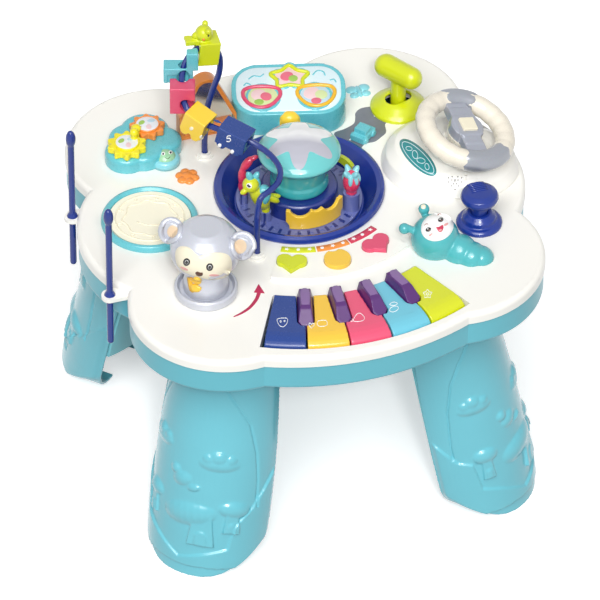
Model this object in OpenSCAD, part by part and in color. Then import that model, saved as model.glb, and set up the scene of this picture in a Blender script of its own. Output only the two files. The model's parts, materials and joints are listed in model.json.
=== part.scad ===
// Musical activity table: a lobed play top on four hollow legs.
// Origin: middle of the footprint on the floor. +Z up, keyboard side at -Y.

/* [Table] */
// Height of the playing surface above the floor
table_h = 280; // [250:2:300]
// Depth of the ivory top casing at its rim
top_depth = 12; // [10:1:16]
// Depth of the teal bottom casing below the top casing
base_depth = 28; // [24:1:32]
// Wall thickness of both casings
wall = 2.6; // [2:0.2:3.2]
// Thickness of the top casing's playing surface
top_t = 3; // [2.4:0.2:4]
// Radius of the top casing's rounded edge
edge_f = 5; // [3:0.5:7]
// Radius of the lobes on the left and right
side_lobe_r = 118; // [112:1:120]
// Radius of the four corner lobes
corner_lobe_r = 92; // [88:1:94]
// Radius of the keyboard lobe
front_lobe_r = 255; // [252:1:258]

/* [Legs] */
// Radius of a leg's round outer face at its widest
leg_r = 60; // [54:1:62]
// Lean of each leg, outward at the foot
leg_lean = 12.5; // [10:0.5:14]
// Height at which a leg is widest
leg_bulge_z = 75; // [60:5:100]
// Radius of the long curve of a leg's face
leg_curve_r = 1150; // [1000:50:1500]
// Wall thickness of a leg
leg_wall = 3; // [2.4:0.2:4]
// Corner radius of a leg's foot, seen from outside
foot_corner = 38; // [32:1:44]
// Distance of the front feet from the table's middle plane
front_foot_x = 134; // [128:1:136]
// Distance of the front feet from the table's cross plane
front_foot_y = 124; // [118:1:128]
// Distance of the back feet from the table's middle plane
back_foot_x = 142; // [138:1:146]
// Distance of the back feet from the table's cross plane
back_foot_y = 143; // [138:1:147]
// Height of the lower edge of a leg's inner panel
liner_z = 58; // [50:2:80]

/* [Bowl] */
// Outer radius of the blue bowl's rim
bowl_r = 82; // [80:1:83]
// Distance of the bowl's middle to the right of the table's middle
bowl_x = 3; // [0:1:4]
// Distance of the bowl's middle behind the table's middle
bowl_y = 25; // [24:1:26]
// Depth of the bowl's floor below the playing surface
bowl_depth = 13; // [11:0.5:15]
// Radius of the turning carousel plate
carousel_r = 60; // [59:0.5:61]
// Height of the carousel's raised ring above the playing surface
ring_h = 9; // [7:1:12]
// Outer radius of the carousel's raised ring
ring_r = 37; // [35:1:38]
// Widest radius of the domed cap
cap_r = 40; // [37:1:42]

/* [Keyboard] */
// Fan angle of the keyboard
key_fan = 52; // [50:1:53]
// Radius of the keys' back ends from the bowl's middle
key_back_r = 158; // [154:1:160]
// Height of the coloured keys above the playing surface
key_h = 5; // [3:0.5:7]
// Height of the purple keys above the playing surface
half_key_h = 14; // [11:1:17]
// Length of the purple keys
half_key_len = 42; // [38:1:45]
// Gap between neighbouring keys
key_gap = 1.2; // [0.8:0.1:1.6]
// Radius of the keys' hinge pins
pin_r = 1.5; // [1.2:0.1:1.8]

/* [Buttons] */
// Height of the raised button panel
panel_h = 4; // [3:0.5:6]
// Size of the heart buttons
heart_size = 28; // [24:1:29]
// Height of a button above the panel
button_h = 4; // [3:0.5:6]
// Travel of a panel button
button_travel = 2.5; // [1.5:0.5:3]

/* [Wheel and levers] */
// Radius of the steering wheel's ring to the middle of its tube
wheel_r = 40; // [38:1:41]
// Radius of the steering wheel's tube
wheel_tube_r = 9.5; // [8:0.5:10]
// Lean of the steering column
wheel_lean = 19; // [15:1:22]
// Radius of the steering shaft
shaft_r = 6; // [5:0.5:7]
// Height of the joystick's knob above the playing surface
stick_h = 44; // [40:1:50]
// Radius of the joystick's shaft
stick_r = 7.5; // [6:0.5:8]
// Radius of the plunger's stem
plunger_r = 8; // [7:0.5:9]
// Travel of the plunger
plunger_travel = 10; // [6:1:11]

/* [Drum and sticks] */
// Outer radius of the drum's ring
drum_r = 46.5; // [45:0.5:48]
// Radius of the drum's head
drum_head_r = 39; // [36:0.5:40]
// Length of a drumstick
drumstick_len = 165; // [150:2:170]
// Radius of a drumstick's shaft
drumstick_r = 3.2; // [2.8:0.1:3.6]

/* [Gears] */
// Teeth of the yellow gear
yellow_teeth = 10; // [10:1:10]
// Teeth of the orange gear
orange_teeth = 9; // [9:1:9]
// Pitch radius of a gear for each tooth
tooth_pitch = 1.72; // [1.68:0.01:1.74]
// Thickness of the gears
gear_t = 7; // [5:0.5:8]

/* [Train rail] */
// Radius of the rail's tube
rail_r = 3; // [2.6:0.1:3.2]
// Clearance between the rail and the holes in the cars
car_clear = 1.4; // [1.2:0.1:1.8]

/* [Hidden] */
$fn = 64;
fit = 0.3;          // clearance between separate pieces
run = 0.06;         // radial clearance of a shaft in its bore
over = 1;           // how far a cut runs past a face
skirt_in = 1.5;     // how far the teal skirt stands inside the ivory rim
front_lobe_y = 39;  // middle of the keyboard lobe
key_margin = 14;    // casing in front of the keys
key_front_r = front_lobe_r + bowl_y - front_lobe_y - key_margin;
floor_t = 3;        // thickness of the bottom casing's floor
rim_z = table_h - top_depth;
base_z = rim_z - base_depth;
leg_h = base_z;

// Lobes of the outline: [x, y, radius, nearest used y, furthest used y]
LOBES = concat(
  [for (s = [-1, 1]) [s * 100, 7, side_lobe_r, -200, 200]],
  [for (s = [-1, 1]) [s * 110, -104, corner_lobe_r, -300, 100]],
  [for (s = [-1, 1]) [s * 105, 124, corner_lobe_r, -100, 300]],
  [[0, front_lobe_y, front_lobe_r, -300, 5], [0, -43, front_lobe_r, -5, 300]]);
LOBE_HALF_W = 119;  // no lobe is used further than this from its own middle plane

// Places on the playing surface: [x, y]
DRUM = [-146, 23];
MONKEY = [-125, -91];
CLOUD = [-121, 136];
YELLOW_GEAR = [-141, 115];
BOX = [27, 135];
JOYSTICK = [131, 114];
CONSOLE = [143, 25];
WHEEL_FOOT = [152, 8];
PLUNGER = [151, -73];
GRUB = [100, -94];
MIRROR = [-54, 135];
TOY_CAR = [85, 81];
STICKS = [[-211.5, 61], [-210, -59]];

// ---------- shared shapes ----------

// Disc with a rounded upper edge
module rounded_disc(r, h, f) {
  rotate_extrude() {
    square([r - f, h]);
    square([r, h - f]);
    translate([r - f, h - f]) circle(r = f);
  }
}

// The lobed outline as a slab from z0 to z1, its upper edge rounded by f
module lobed(inset, z0, z1, f = 0) {
  for (l = LOBES) intersection() {
    translate([l[0], l[1], z0]) {
      if (f > 0) rounded_disc(l[2] - inset, z1 - z0, f);
      else cylinder(r = l[2] - inset, h = z1 - z0);
    }
    translate([l[0] - LOBE_HALF_W, l[3], z0 - over]) cube([2 * LOBE_HALF_W, l[4] - l[3], z1 - z0 + 2 * over]);
  }
}

// Slab shaped as part of a ring about the bowl's middle
module ring_sector(r0, r1, mid, fan, z0, z1) {
  translate([bowl_x, bowl_y, z0]) rotate(mid - fan / 2) rotate_extrude(angle = fan)
    translate([r0, 0]) square([r1 - r0, z1 - z0]);
}

// Moves its children to polar place (r, a) about the bowl's middle, turned by a
module about_bowl(r, a) {
  translate([bowl_x, bowl_y, 0]) rotate(a) translate([r, 0, 0]) children();
}

// Solid of revolution with an egg-shaped section, its long half axis along Z
module egg(r, half_len) {
  steps = 14;
  rotate_extrude() polygon([for (i = [0:steps]) let (t = 180 * i / steps)
    [r * sin(t), -half_len * cos(t)]]);
}

// Heart outline whose lobes point to +Y, grown by c
module heart(size, c = 0) {
  lobe = size * 0.28;
  for (s = [-1, 1]) translate([s * lobe * 0.86, lobe * 0.4]) circle(r = lobe + c);
  polygon([[-lobe * 1.72 - c, lobe * 0.1 - c / 2], [0, -size * 0.46 - c * 1.4],
    [lobe * 1.72 + c, lobe * 0.1 - c / 2], [0, lobe * 0.9]]);
}

// ---------- casing ----------

// Hole through the playing surface
module surface_hole(place, r) {
  translate([place[0], place[1], table_h - top_t - over]) cylinder(r = r, h = top_t + 2 * over);
}

tab_t = 4;          // thickness of a drumstick tab
tab_z = table_h - 11;
tab_r = 8;

// Tab with a hole that holds a drumstick
module stick_tab(place) {
  difference() {
    union() {
      translate([place[0], place[1], tab_z]) cylinder(r = tab_r, h = tab_t);
      translate([place[0], place[1] - tab_r, tab_z]) cube([22, 2 * tab_r, tab_t]);
    }
    translate([place[0], place[1], tab_z - over]) cylinder(r = drumstick_r + fit, h = tab_t + 2 * over);
  }
}

button_angles = [-111, -89, -67];
button_r = 114;
flange_r = heart_size * 0.5;
well = 2;           // wall of the keyboard's well

module top_shell() color("ivory") {
  difference() {
    union() {
      difference() {
        lobed(0, rim_z, table_h, edge_f);
        lobed(wall, rim_z - over, table_h - top_t);
      }
      ring_sector(key_back_r - 3 - well, key_front_r + 3 + well, -90, key_fan + 2.6, rim_z, table_h - 1);
    }
    ring_sector(key_back_r - 3, key_front_r + 3, -90, key_fan + 1.4, rim_z - over, table_h + over);
    surface_hole([bowl_x, bowl_y], bowl_neck_r + fit);
    for (a = button_angles) about_bowl(button_r, a) surface_hole([0, 0], flange_r + 1.5);
    surface_hole(DRUM, drum_head_r - 6);
    surface_hole(MONKEY, 8);
    surface_hole(YELLOW_GEAR, 3.4);
    surface_hole(ORANGE_GEAR, 3.4);
    surface_hole(JOYSTICK, 20);
    surface_hole(PLUNGER, plunger_r + 3);
    surface_hole(WHEEL_FOOT, 14);
    surface_hole(TOY_CAR, 3);
    translate([TOY_CAR[0], TOY_CAR[1], table_h - top_t - over]) rotate(road_angle)
      translate([-car_back - 3, -3, 0]) cube([car_back + car_ahead + 6, 6, top_t + 2 * over]);
  }
  for (p = [RAIL[0], RAIL[len(RAIL) - 1]]) translate([p[0], p[1], table_h - 0.5]) difference() {
    union() {
      cylinder(r = boss_r, h = 3);
      cylinder(r = boss_r - 2.4, h = boss_h);
    }
    cylinder(r = rail_r + fit, h = boss_h + over);
  }
  difference() {
    for (p = STICKS) stick_tab(p);
    lobed(wall / 2, tab_z - over, tab_z + tab_t + over);
  }
}

// Post for a screw, standing on the bottom casing's floor
module screw_post(p) {
  translate([p[0], p[1], base_z + floor_t - 0.5]) difference() {
    cylinder(r = 4.5, h = base_depth - floor_t);
    translate([0, 0, -over]) cylinder(r = screw_r + 0.1, h = base_depth);
  }
}

SCREWS = [[-196, -5], [196, -5], [-112, -178], [112, -178], [-40, 192], [40, 192]];
screw_r = 1.5;
screw_head_r = 3.2;
door = [84, 62];    // battery door, wide and deep
door_y = 5;        // middle of the battery door
SPEAKER = [0, -88];
speaker_r = 28;
SWITCH = [78, 5];
switch_run = 5;

// Places of the feet with the side each leg faces: [x, y, heading]
LEGS = [
  [-front_foot_x, -front_foot_y, 225], [front_foot_x, -front_foot_y, 315],
  [-back_foot_x, back_foot_y, 135], [back_foot_x, back_foot_y, 45]];

module at_leg(n) {
  translate([LEGS[n][0], LEGS[n][1], 0]) rotate(LEGS[n][2]) children();
}

module bottom_shell() color("lightseagreen") {
  difference() {
    union() {
      difference() {
        translate([0, 0, rim_z + base_z]) mirror([0, 0, 1]) lobed(skirt_in, base_z, rim_z, 4);
        lobed(skirt_in + wall, base_z + floor_t, rim_z + over);
      }
      for (p = SCREWS) screw_post(p);
    }
    for (n = [0:3]) at_leg(n) leg_plug(-fit, -over, plug_h + over);
    translate([-door[0] / 2 - fit, door_y - door[1] / 2 - fit, base_z - over])
      cube([door[0] + 2 * fit, door[1] + 2 * fit, floor_t + 2 * over]);
    for (x = [-18:6:18]) translate([SPEAKER[0] + x - 1.2, SPEAKER[1] - sqrt(484 - x * x), base_z - over])
      cube([2.4, 2 * sqrt(484 - x * x), floor_t + 2 * over]);
    translate([SWITCH[0] - 4, SWITCH[1] - 4 - switch_run, base_z - over])
      cube([8, 8 + switch_run, floor_t + 2 * over]);
    for (p = SCREWS) translate([p[0], p[1], base_z - over]) {
      cylinder(r = screw_head_r + fit, h = over + 1.8);
      cylinder(r = screw_r + 0.1, h = base_depth);
    }
  }
  for (i = [0:8]) key_bracket(i);
  difference() {
    translate([-door[0] / 2 - 3, door_y - door[1] / 2 - 3, base_z + floor_t - 0.5])
      cube([door[0] + 6, door[1] + 6, 10]);
    translate([-door[0] / 2 - fit, door_y - door[1] / 2 - fit, base_z])
      cube([door[0] + 2 * fit, door[1] + 2 * fit, 20]);
  }
}

// Screws that hold the casing together, driven from below
module case_screws() color("silver") {
  for (p = SCREWS) translate([p[0], p[1], base_z]) {
    difference() {
      cylinder(r = screw_head_r, h = 1.8);
      for (a = [0, 90]) rotate(a) translate([-2.2, -0.4, -over]) cube([4.4, 0.8, over + 0.9]);
    }
    cylinder(r = screw_r, h = base_depth - 4);
  }
}

module battery_door() color("mediumturquoise") {
  difference() {
    translate([-door[0] / 2, door_y - door[1] / 2, base_z]) cube([door[0], door[1], floor_t]);
    for (y = [-16:8:16]) translate([-18, door_y + y - 1, base_z - over]) cube([36, 2, over + 1]);
  }
}

// Three cells lying side by side on the door
module batteries() color("dimgray") {
  for (i = [-1:1]) translate([-25, door_y + i * 15.2, base_z + floor_t + 7.2]) rotate([0, 90, 0]) {
    cylinder(r = 7.2, h = 49);
    translate([0, 0, 48]) cylinder(r = 2.7, h = 2.5);
  }
}

module circuit_board() color("darkgreen") {
  translate([-50, -72, rim_z - 6]) difference() {
    cube([100, 30, 1.6]);
    for (x = [6, 94]) translate([x, 6, -over]) cylinder(r = 1.6, h = 4);
  }
  for (x = [-30, 0, 28]) translate([x - 6, -64, rim_z - 4.4]) cube([12, 10, 2]);
  for (x = [-48, 44]) translate([x, -70, base_z + floor_t]) cube([4, 4, base_depth - floor_t - 6]);
}

module speaker() color("gray") {
  translate([SPEAKER[0], SPEAKER[1], base_z + floor_t]) {
    difference() {
      cylinder(r = speaker_r, h = 5);
      translate([0, 0, -over]) cylinder(r1 = speaker_r - 3, r2 = 10, h = 5);
    }
    translate([0, 0, 5]) cylinder(r = 12, h = 6);
  }
}

module power_switch() color("orangered") {
  translate([SWITCH[0], SWITCH[1], base_z]) {
    translate([-3.5, -3.7, -1.5]) cube([7, 7.4, floor_t + 1.5]);
    translate([-7, -4 - switch_run, floor_t + 0.1]) cube([14, 12, 2]);
    translate([-3.5, -3.7, floor_t - 0.5]) cube([7, 7.4, 1.5]);
  }
}

// ---------- legs ----------

leg_steps = 14;
plug_h = 10;        // how far a leg's plug reaches into the casing
plug_in = 9;        // how far the plug stands inside the leg's face
flat_x = -2;        // plane of a leg's open inner side, from its axis
foot_gap = 22;      // half width of the opening under a foot
liner_r = 112;      // radius of the inner panel's bulge

function leg_face(z) = leg_r - pow(z - leg_bulge_z, 2) / (2 * leg_curve_r);

// Round leaning column, its face d inside the leg's face
module leg_column(d) {
  low = -40;
  high = leg_h + 60;
  rotate([0, -leg_lean, 0]) rotate_extrude($fn = 96) polygon(concat([[0, low]],
    [for (i = [0:leg_steps]) let (z = low + (high - low) * i / leg_steps) [leg_face(z) - d, z]],
    [[0, high]]));
}

// Slab with a rounded foot, seen from outside the leg
module leg_sides(d) {
  shoulder = leg_r - foot_corner;
  rotate([90, 0, 90]) translate([0, 0, -150]) linear_extrude(300) {
    translate([-leg_r + d, foot_corner]) square([2 * (leg_r - d), leg_h]);
    translate([-shoulder, d]) square([2 * shoulder, foot_corner]);
    for (s = [-1, 1]) translate([s * shoulder, foot_corner]) circle(r = foot_corner - d);
  }
}

// Everything on the outer side of the leg's open inner plane, from z0 to z1
module leg_half(x, z0, z1) {
  intersection() {
    rotate([0, -leg_lean, 0]) translate([x, -150, -100]) cube([300, 300, leg_h + 300]);
    translate([-200, -200, z0]) cube([400, 400, z1 - z0]);
  }
}

// Plug on top of the leg, grown by -d, from z0 to z1 above the leg's top
module leg_plug(d, z0, z1) {
  intersection() {
    leg_column(plug_in + d);
    leg_half(flat_x + plug_in + d, leg_h + z0, leg_h + z1);
  }
}

// Pillow on the leg's face, w wide and h high, hugging its curve
module pillow(a, z, w, h, proud, tilt = 0) {
  r = (h * h / 4 + proud * proud) / (2 * proud);
  drop = leg_r - sqrt(leg_r * leg_r - w * w / 4);
  reach = (r - proud - drop) / r;
  rotate([0, -leg_lean, 0]) rotate(a) translate([leg_face(z) + proud - r, 0, z])
    rotate([90 + tilt, 0, 0]) egg(r, w / 2 / sqrt(1 - reach * reach));
}

module cloud_relief(a, z, s = 1) {
  pillow(a, z - 2 * s, 40 * s, 15 * s, 2.6);
  pillow(a - 1, z + 5 * s, 19 * s, 16 * s, 3.4);
  for (d = [-10, 10]) pillow(a + d * s, z + 3 * s, 14 * s, 12 * s, 2.6);
}

// Songbird: a body with its head up and a tail
module bird_relief(a, z) {
  pillow(a, z, 22, 15, 3, 25);
  pillow(a - 8, z + 8, 12, 11, 3);
  pillow(a + 13, z - 6, 14, 7, 2.4, 20);
}

// Toadstool: cap w wide and h high round z, tilted, on a stem turned by lean with an arched door
module toadstool_relief(a, z, w, h, stem, lean = 0, tilt = 0) {
  pillow(a, z, w, h, 4.2, tilt);
  rotate([0, -leg_lean, 0]) rotate(a + lean) translate([leg_face(z - stem) - 9, 0, z - stem]) {
    rotate([90, 0, 90]) linear_extrude(11.5)
      polygon([[-w * 0.24, 0], [w * 0.24, 0], [w * 0.16, stem], [-w * 0.16, stem]]);
    translate([0, 0, stem * 0.32]) rotate([0, 90, 0]) cylinder(r = w * 0.1, h = 12.8);
    translate([0, -w * 0.1, 1]) cube([12.8, w * 0.2, stem * 0.32]);
  }
}

module leg(n) color("mediumturquoise") at_leg(n) difference() {
  union() {
    difference() {
      intersection() {
        union() {
          leg_column(0);
          cloud_relief(26, 117);
          cloud_relief(-41, 125, 0.9);
          bird_relief(-8, 92);
          toadstool_relief(2, 57, 56, 25, 32, 14, 12);
          toadstool_relief(45, 66, 33, 18, 25, -2, -10);
          toadstool_relief(-41, 67, 26, 17, 26);
        }
        leg_sides(0);
        leg_half(flat_x, 0, leg_h);
      }
      intersection() {
        leg_column(leg_wall);
        leg_sides(leg_wall);
        translate([-200, -200, -over]) cube([400, 400, leg_h - leg_wall + over]);
      }
      intersection() {
        leg_column(leg_wall);
        translate([-200, -foot_gap, -over]) cube([400, 2 * foot_gap, foot_corner]);
      }
    }
    leg_plug(0, -0.5, plug_h);
  }
  leg_plug(leg_wall, -leg_wall - over, plug_h - leg_wall);
}

// Slab between the inner plane and a bulge of radius liner_r, its face d inside
module bulge(d) {
  depth = liner_r - sqrt(liner_r * liner_r - leg_r * leg_r);
  rotate([0, -leg_lean, 0]) translate([flat_x - depth + liner_r, 0, -50]) cylinder(r = liner_r - d, h = leg_h + 100);
}

// Inner panels that close the legs above the foot
module leg_liners() color("paleturquoise") for (n = [0:3]) at_leg(n) difference() {
  intersection() {
    leg_column(leg_wall + fit);
    bulge(0);
    translate([-200, -200, liner_z]) cube([400, 400, leg_h - leg_wall - fit - liner_z]);
  }
  intersection() {
    bulge(2.6);
    translate([-200, -200, 0]) cube([400, 400, leg_h]);
  }
}

// ---------- keyboard ----------

key_step = key_fan / 5;
hinge_r = key_back_r + 5;
hinge_z = base_z + floor_t + 10;
barrel_r = 3.6;

// Middle angle of key i: 0 to 4 are coloured keys, 5 to 8 purple ones
function key_angle(i) = i < 5 ? -90 + (i - 2) * key_step : -90 + (i - 6.5) * key_step;

// Two ears with a pin for one key
module key_bracket(i) about_bowl(hinge_r, key_angle(i)) {
  half = i < 5 ? 5.2 : 3.2;
  for (s = [-1, 1]) translate([-2.5, s * (half + 0.4 + 1) - 1, base_z + floor_t - 0.5])
    cube([5, 2, hinge_z - base_z - floor_t + 3]);
  translate([0, -half - 1.4, hinge_z]) rotate([-90, 0, 0]) cylinder(r = pin_r, h = 2 * half + 2.8);
}

// Hinge barrel under a key and the rib that carries it
module key_barrel(half, top) {
  difference() {
    union() {
      translate([0, -half, hinge_z]) rotate([-90, 0, 0]) cylinder(r = barrel_r, h = 2 * half);
      translate([-2, -half, hinge_z]) cube([4, 2 * half, top - hinge_z]);
    }
    translate([0, -half - over, hinge_z]) rotate([-90, 0, 0])
      cylinder(r = pin_r + run, h = 2 * (half + over));
  }
}

half_w = 15;        // foot width of a purple key
half_top_w = 10.5;  // width of its flat top

half_tip = 4;       // length of its narrowing front
half_front_w = 8;   // width of its front end
half_reach = 0.9;   // how far its front swings forward when it is pressed

// Outline of a purple key's foot from above, grown by c and at the front by ahead, its back end at 0
module half_key_outline(c, ahead = 0) polygon([[-over, -half_w / 2 - c],
  [half_key_len - half_tip + ahead, -half_w / 2 - c],
  [half_key_len + c + ahead, -half_front_w / 2 - c], [half_key_len + c + ahead, half_front_w / 2 + c],
  [half_key_len - half_tip + ahead, half_w / 2 + c],
  [-over, half_w / 2 + c]]);

// Space of a purple key's foot, grown by c
module half_key_space(i, c, z0, z1) {
  about_bowl(key_back_r, key_angle(i)) translate([0, 0, z0]) linear_extrude(z1 - z0)
    half_key_outline(c, half_reach);
}

key_floor = rim_z - 2;

module key(i, tint) color(tint) {
  gap_angle = key_gap / key_front_r * 57.3 * 1.3;
  difference() {
    translate([bowl_x, bowl_y, 0]) rotate(key_angle(i) - (key_step - gap_angle) / 2)
      rotate_extrude(angle = key_step - gap_angle) polygon([
        [key_back_r, key_floor], [key_front_r, key_floor], [key_front_r, table_h + key_h - 7],
        [key_front_r - 1.5, table_h + key_h - 4.6], [key_front_r - 5, table_h + key_h - 2.4],
        [key_front_r - 10, table_h + key_h - 0.7], [key_front_r - 15, table_h + key_h],
        [key_back_r + 2, table_h + key_h], [key_back_r, table_h + key_h - 2]]);
    for (j = [i + 4, i + 5]) if (j > 4 && j < 9)
      half_key_space(j, 0.7, key_floor - over, table_h + key_h + over);
  }
  about_bowl(hinge_r, key_angle(i)) key_barrel(5.2, key_floor + 1);
}

module half_key(i) color("indigo") {
  j = i + 5;
  about_bowl(key_back_r, key_angle(j)) intersection() {
    rotate([90, 0, 0]) translate([0, 0, -half_w]) linear_extrude(2 * half_w) polygon([
      [0, key_floor], [half_key_len, key_floor], [half_key_len, table_h + 3],
      [half_key_len - 13, table_h + half_key_h - 1.5], [half_key_len - 17, table_h + half_key_h],
      [2, table_h + half_key_h], [0, table_h + half_key_h - 2]]);
    rotate([90, 0, 90]) linear_extrude(half_key_len + over) polygon([
      [-half_w / 2, key_floor], [half_w / 2, key_floor], [half_w / 2, table_h + 3],
      [half_top_w / 2, table_h + half_key_h - 1], [half_top_w / 2 - 1.5, table_h + half_key_h],
      [1.5 - half_top_w / 2, table_h + half_key_h], [-half_top_w / 2, table_h + half_key_h - 1],
      [-half_w / 2, table_h + 3]]);
    translate([0, 0, key_floor - over]) linear_extrude(80) half_key_outline(0);
  }
  about_bowl(hinge_r, key_angle(j)) key_barrel(3.2, key_floor + 1);
}

// ---------- button panel ----------

panel_r0 = bowl_r + 6;
panel_r1 = button_r + 20;
button_low = table_h - 9;

// The button's shape, pointing away from the bowl
module button_outline(n, c) {
  if (n == 1) {
    difference() {
      circle(r = heart_size * 0.46 + c);
      translate([-heart_size * 0.62, 0]) circle(r = heart_size * 0.26 - c);
    }
  } else rotate(90) heart(heart_size, c);
}

module button_panel() color("ivory") difference() {
  ring_sector(panel_r0, panel_r1, -88, 62, table_h, table_h + panel_h);
  for (n = [0:2]) about_bowl(button_r, button_angles[n])
    translate([0, 0, table_h - over]) linear_extrude(panel_h + 2 * over) button_outline(n, 0.35);
}

module panel_button(n, tint) color(tint) about_bowl(button_r, button_angles[n]) {
  translate([0, 0, table_h - 1]) linear_extrude(panel_h + button_h + 1) button_outline(n, 0);
  translate([0, 0, table_h - 2.2]) cylinder(r = flange_r + 0.8, h = 2);
  translate([0, 0, button_low]) cylinder(r = 4, h = 7.5);
}

// ---------- bowl and carousel ----------

bowl_neck_r = bowl_r - 6;
bowl_floor_z = table_h - bowl_depth;
column_r = 10;
dome_z = table_h + ring_h + 0.6;

module bowl() color("mediumblue") translate([bowl_x, bowl_y, 0]) {
  rotate_extrude($fn = 96) {
    polygon([[column_r - 3, bowl_floor_z - 2.5], [carousel_r + 2.5, bowl_floor_z - 2.5],
      [bowl_neck_r, table_h], [bowl_r - 1.5, table_h], [bowl_r, table_h + 2.5],
      [bowl_r - 1, table_h + 6], [bowl_r - 4, table_h + 8], [bowl_r - 8, table_h + 6],
      [carousel_r + 1.5, bowl_floor_z], [column_r - 3, bowl_floor_z]]);
    translate([column_r - 3, bowl_floor_z - 2.5]) square([3, dome_z - bowl_floor_z + 2.5]);
  }
  // Ledge that the carousel turns on
  translate([0, 0, bowl_floor_z - 0.5]) difference() {
    cylinder(r = column_r + 6, h = 1.5);
    translate([0, 0, -over]) cylinder(r = column_r - 1, h = 4);
  }
}

carousel_z = bowl_floor_z + 1.3;
plate_t = 2.4;
POSTS = [[46, 209], [53, 171], [52, -35]];   // parrot, red bird, berry: [radius, angle]
post_r = 7;
post_h = 11;

module on_carousel(r, a) {
  translate([bowl_x, bowl_y, 0]) rotate(a) translate([r, 0, carousel_z + plate_t]) rotate(90) children();
}

module carousel() color("navy") {
  translate([bowl_x, bowl_y, carousel_z]) difference() {
    union() {
      cylinder(r = carousel_r, h = plate_t);
      rounded_disc(ring_r, table_h + ring_h - carousel_z, 4);
    }
    translate([0, 0, -over]) cylinder(r = column_r + run, h = 60);
    translate([0, 0, -over]) cylinder(r = ring_r - 3, h = table_h + ring_h - carousel_z - 2 + over - 3);
    for (a = [0:12:348]) rotate(a) translate([carousel_r - 5, 0, plate_t - 0.8]) cylinder(r = 3, h = 2);
  }
  translate([bowl_x, bowl_y, carousel_z]) difference() {
    cylinder(r = column_r + 4, h = table_h + ring_h - carousel_z - 1);
    translate([0, 0, -over]) cylinder(r = column_r + run, h = 60);
  }
  for (n = [0:2]) on_carousel(POSTS[n][0], POSTS[n][1]) translate([0, 0, -0.5])
    cylinder(r = [5.2, 4, 7.8][n], h = [12, 12, 20][n]);
  // Leaf-shaped hoop beside the berry
  on_carousel(51, 21) difference() {
    scale(1) rotate([90, 0, 20]) translate([0, 8, -2]) cylinder(r = 17, h = 4);
    rotate([90, 0, 20]) translate([4, 3, -3]) cylinder(r = 15, h = 6);
    translate([-30, -30, -30]) cube([60, 60, 30]);
  }
}

module dome() color("mediumturquoise") translate([bowl_x, bowl_y, dome_z]) rotate_extrude($fn = 96)
  polygon([[0, 0], [27.5, 0], [28.5, 3], [27.5, 8], [26, 11], [26, 25], [28, 29], [cap_r - 6.5, 31.5],
    [cap_r - 2.5, 34.5], [cap_r, 38.5], [cap_r - 1, 41.5], [cap_r - 4, 44.5], [cap_r - 10, 48.5],
    [cap_r - 18, 52], [cap_r - 28, 55], [0, 56.5], [0, 53.5], [cap_r - 29, 52], [cap_r - 19, 49],
    [cap_r - 12, 46], [cap_r - 5, 40], [cap_r - 8, 36], [25, 32], [23, 26], [23, 6], [20, 2.5], [0, 2.5]]);

// Figure n stands on its own post, turned by a
module on_post(n, a = 0) {
  on_carousel(POSTS[n][0], POSTS[n][1]) translate([0, 0, [11.5, 11.5, 19.5][n]])
    rotate(a - 90 - POSTS[n][1]) children();
}

// Parrot leaning over its post, its head and crest up to the left
module parrot() color("yellowgreen") on_post(0) {
  cylinder(r = 4, h = 7);
  translate([-6, 0, 19]) rotate([0, -24, 0]) egg(8, 17);
  translate([-15, -1, 37]) sphere(r = 8);
  translate([-22.5, -4, 33]) rotate([0, 60, 0]) egg(2.8, 4.5);
  translate([-15.5, 0, 45]) rotate([0, -18, 0]) egg(3, 7);
  translate([-10, 1, 43]) rotate([0, 30, 0]) egg(2.6, 6);
  translate([-1, -5, 23]) rotate([0, 12, 0]) egg(4, 10);
  translate([6, -2, 15]) rotate([0, -50, 0]) egg(3.4, 9);
  translate([8, 2, 14.5]) rotate([0, -74, 0]) egg(3, 8);
}

// Tall bird, its head bent over
module red_bird() color("crimson") on_post(1) {
  cylinder(r = 3.5, h = 8);
  translate([-1, 0, 9.6]) egg(4.6, 9);
  translate([-1.5, 0, 21]) egg(4.2, 12);
  translate([3, 0, 36]) rotate([0, 38, 0]) egg(4.2, 9);
  translate([9, 0, 41]) rotate([0, 70, 0]) egg(2.6, 5.5);
}

module berry() color("crimson") on_post(2) {
  cylinder(r = 5.5, h = 5);
  translate([0, 0, 13.3]) egg(8.2, 13);
  for (a = [0:90:270]) rotate(a + 20) translate([4.5, 0, 23]) rotate([0, 35, 0]) egg(2.8, 7);
}

fence_r = 44;
fence_t = 4;
fence_mid = -85;

// Curved fence with a wavy top
module wave_fence() color("gold") translate([bowl_x, bowl_y, carousel_z + plate_t]) rotate(fence_mid)
  difference() {
    rotate(-38) rotate_extrude(angle = 76) translate([fence_r, 0]) square([fence_t, 22]);
    // Waves along its top: where, radius and height of each hollow
    for (w = [[-21, 10, 25], [18, 10, 26], [-1, 6, 26], [-42, 7, 2], [42, 7, 2]])
      rotate(w[0]) translate([fence_r - 5, 0, w[2]]) rotate([0, 90, 0]) cylinder(r = w[1], h = 14);
  }

// ---------- rail and train ----------

// Route of the rail: x, y and height above the playing surface
RAIL = [[-64, -56, 0], [-64, -56, 20], [-63, -53, 46], [-58, -47, 62], [-48, -44, 67],
  [-37, -37, 70], [-31, -23, 73], [-35, -5, 77], [-47, 11, 82], [-62, 22, 87], [-78, 34, 90],
  [-90, 46, 93], [-98, 58, 100], [-99, 70, 112], [-94, 82, 128], [-84, 88, 140], [-71, 89, 145],
  [-61, 88, 141], [-56, 87, 128], [-57, 87, 110], [-62, 89, 92], [-67, 92, 68],
  [-68, 96, 40], [-68, 100, 18], [-68, 100, 0]];
rail_sides = 10;
rail_cuts = 3;      // rings between two route points

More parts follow.
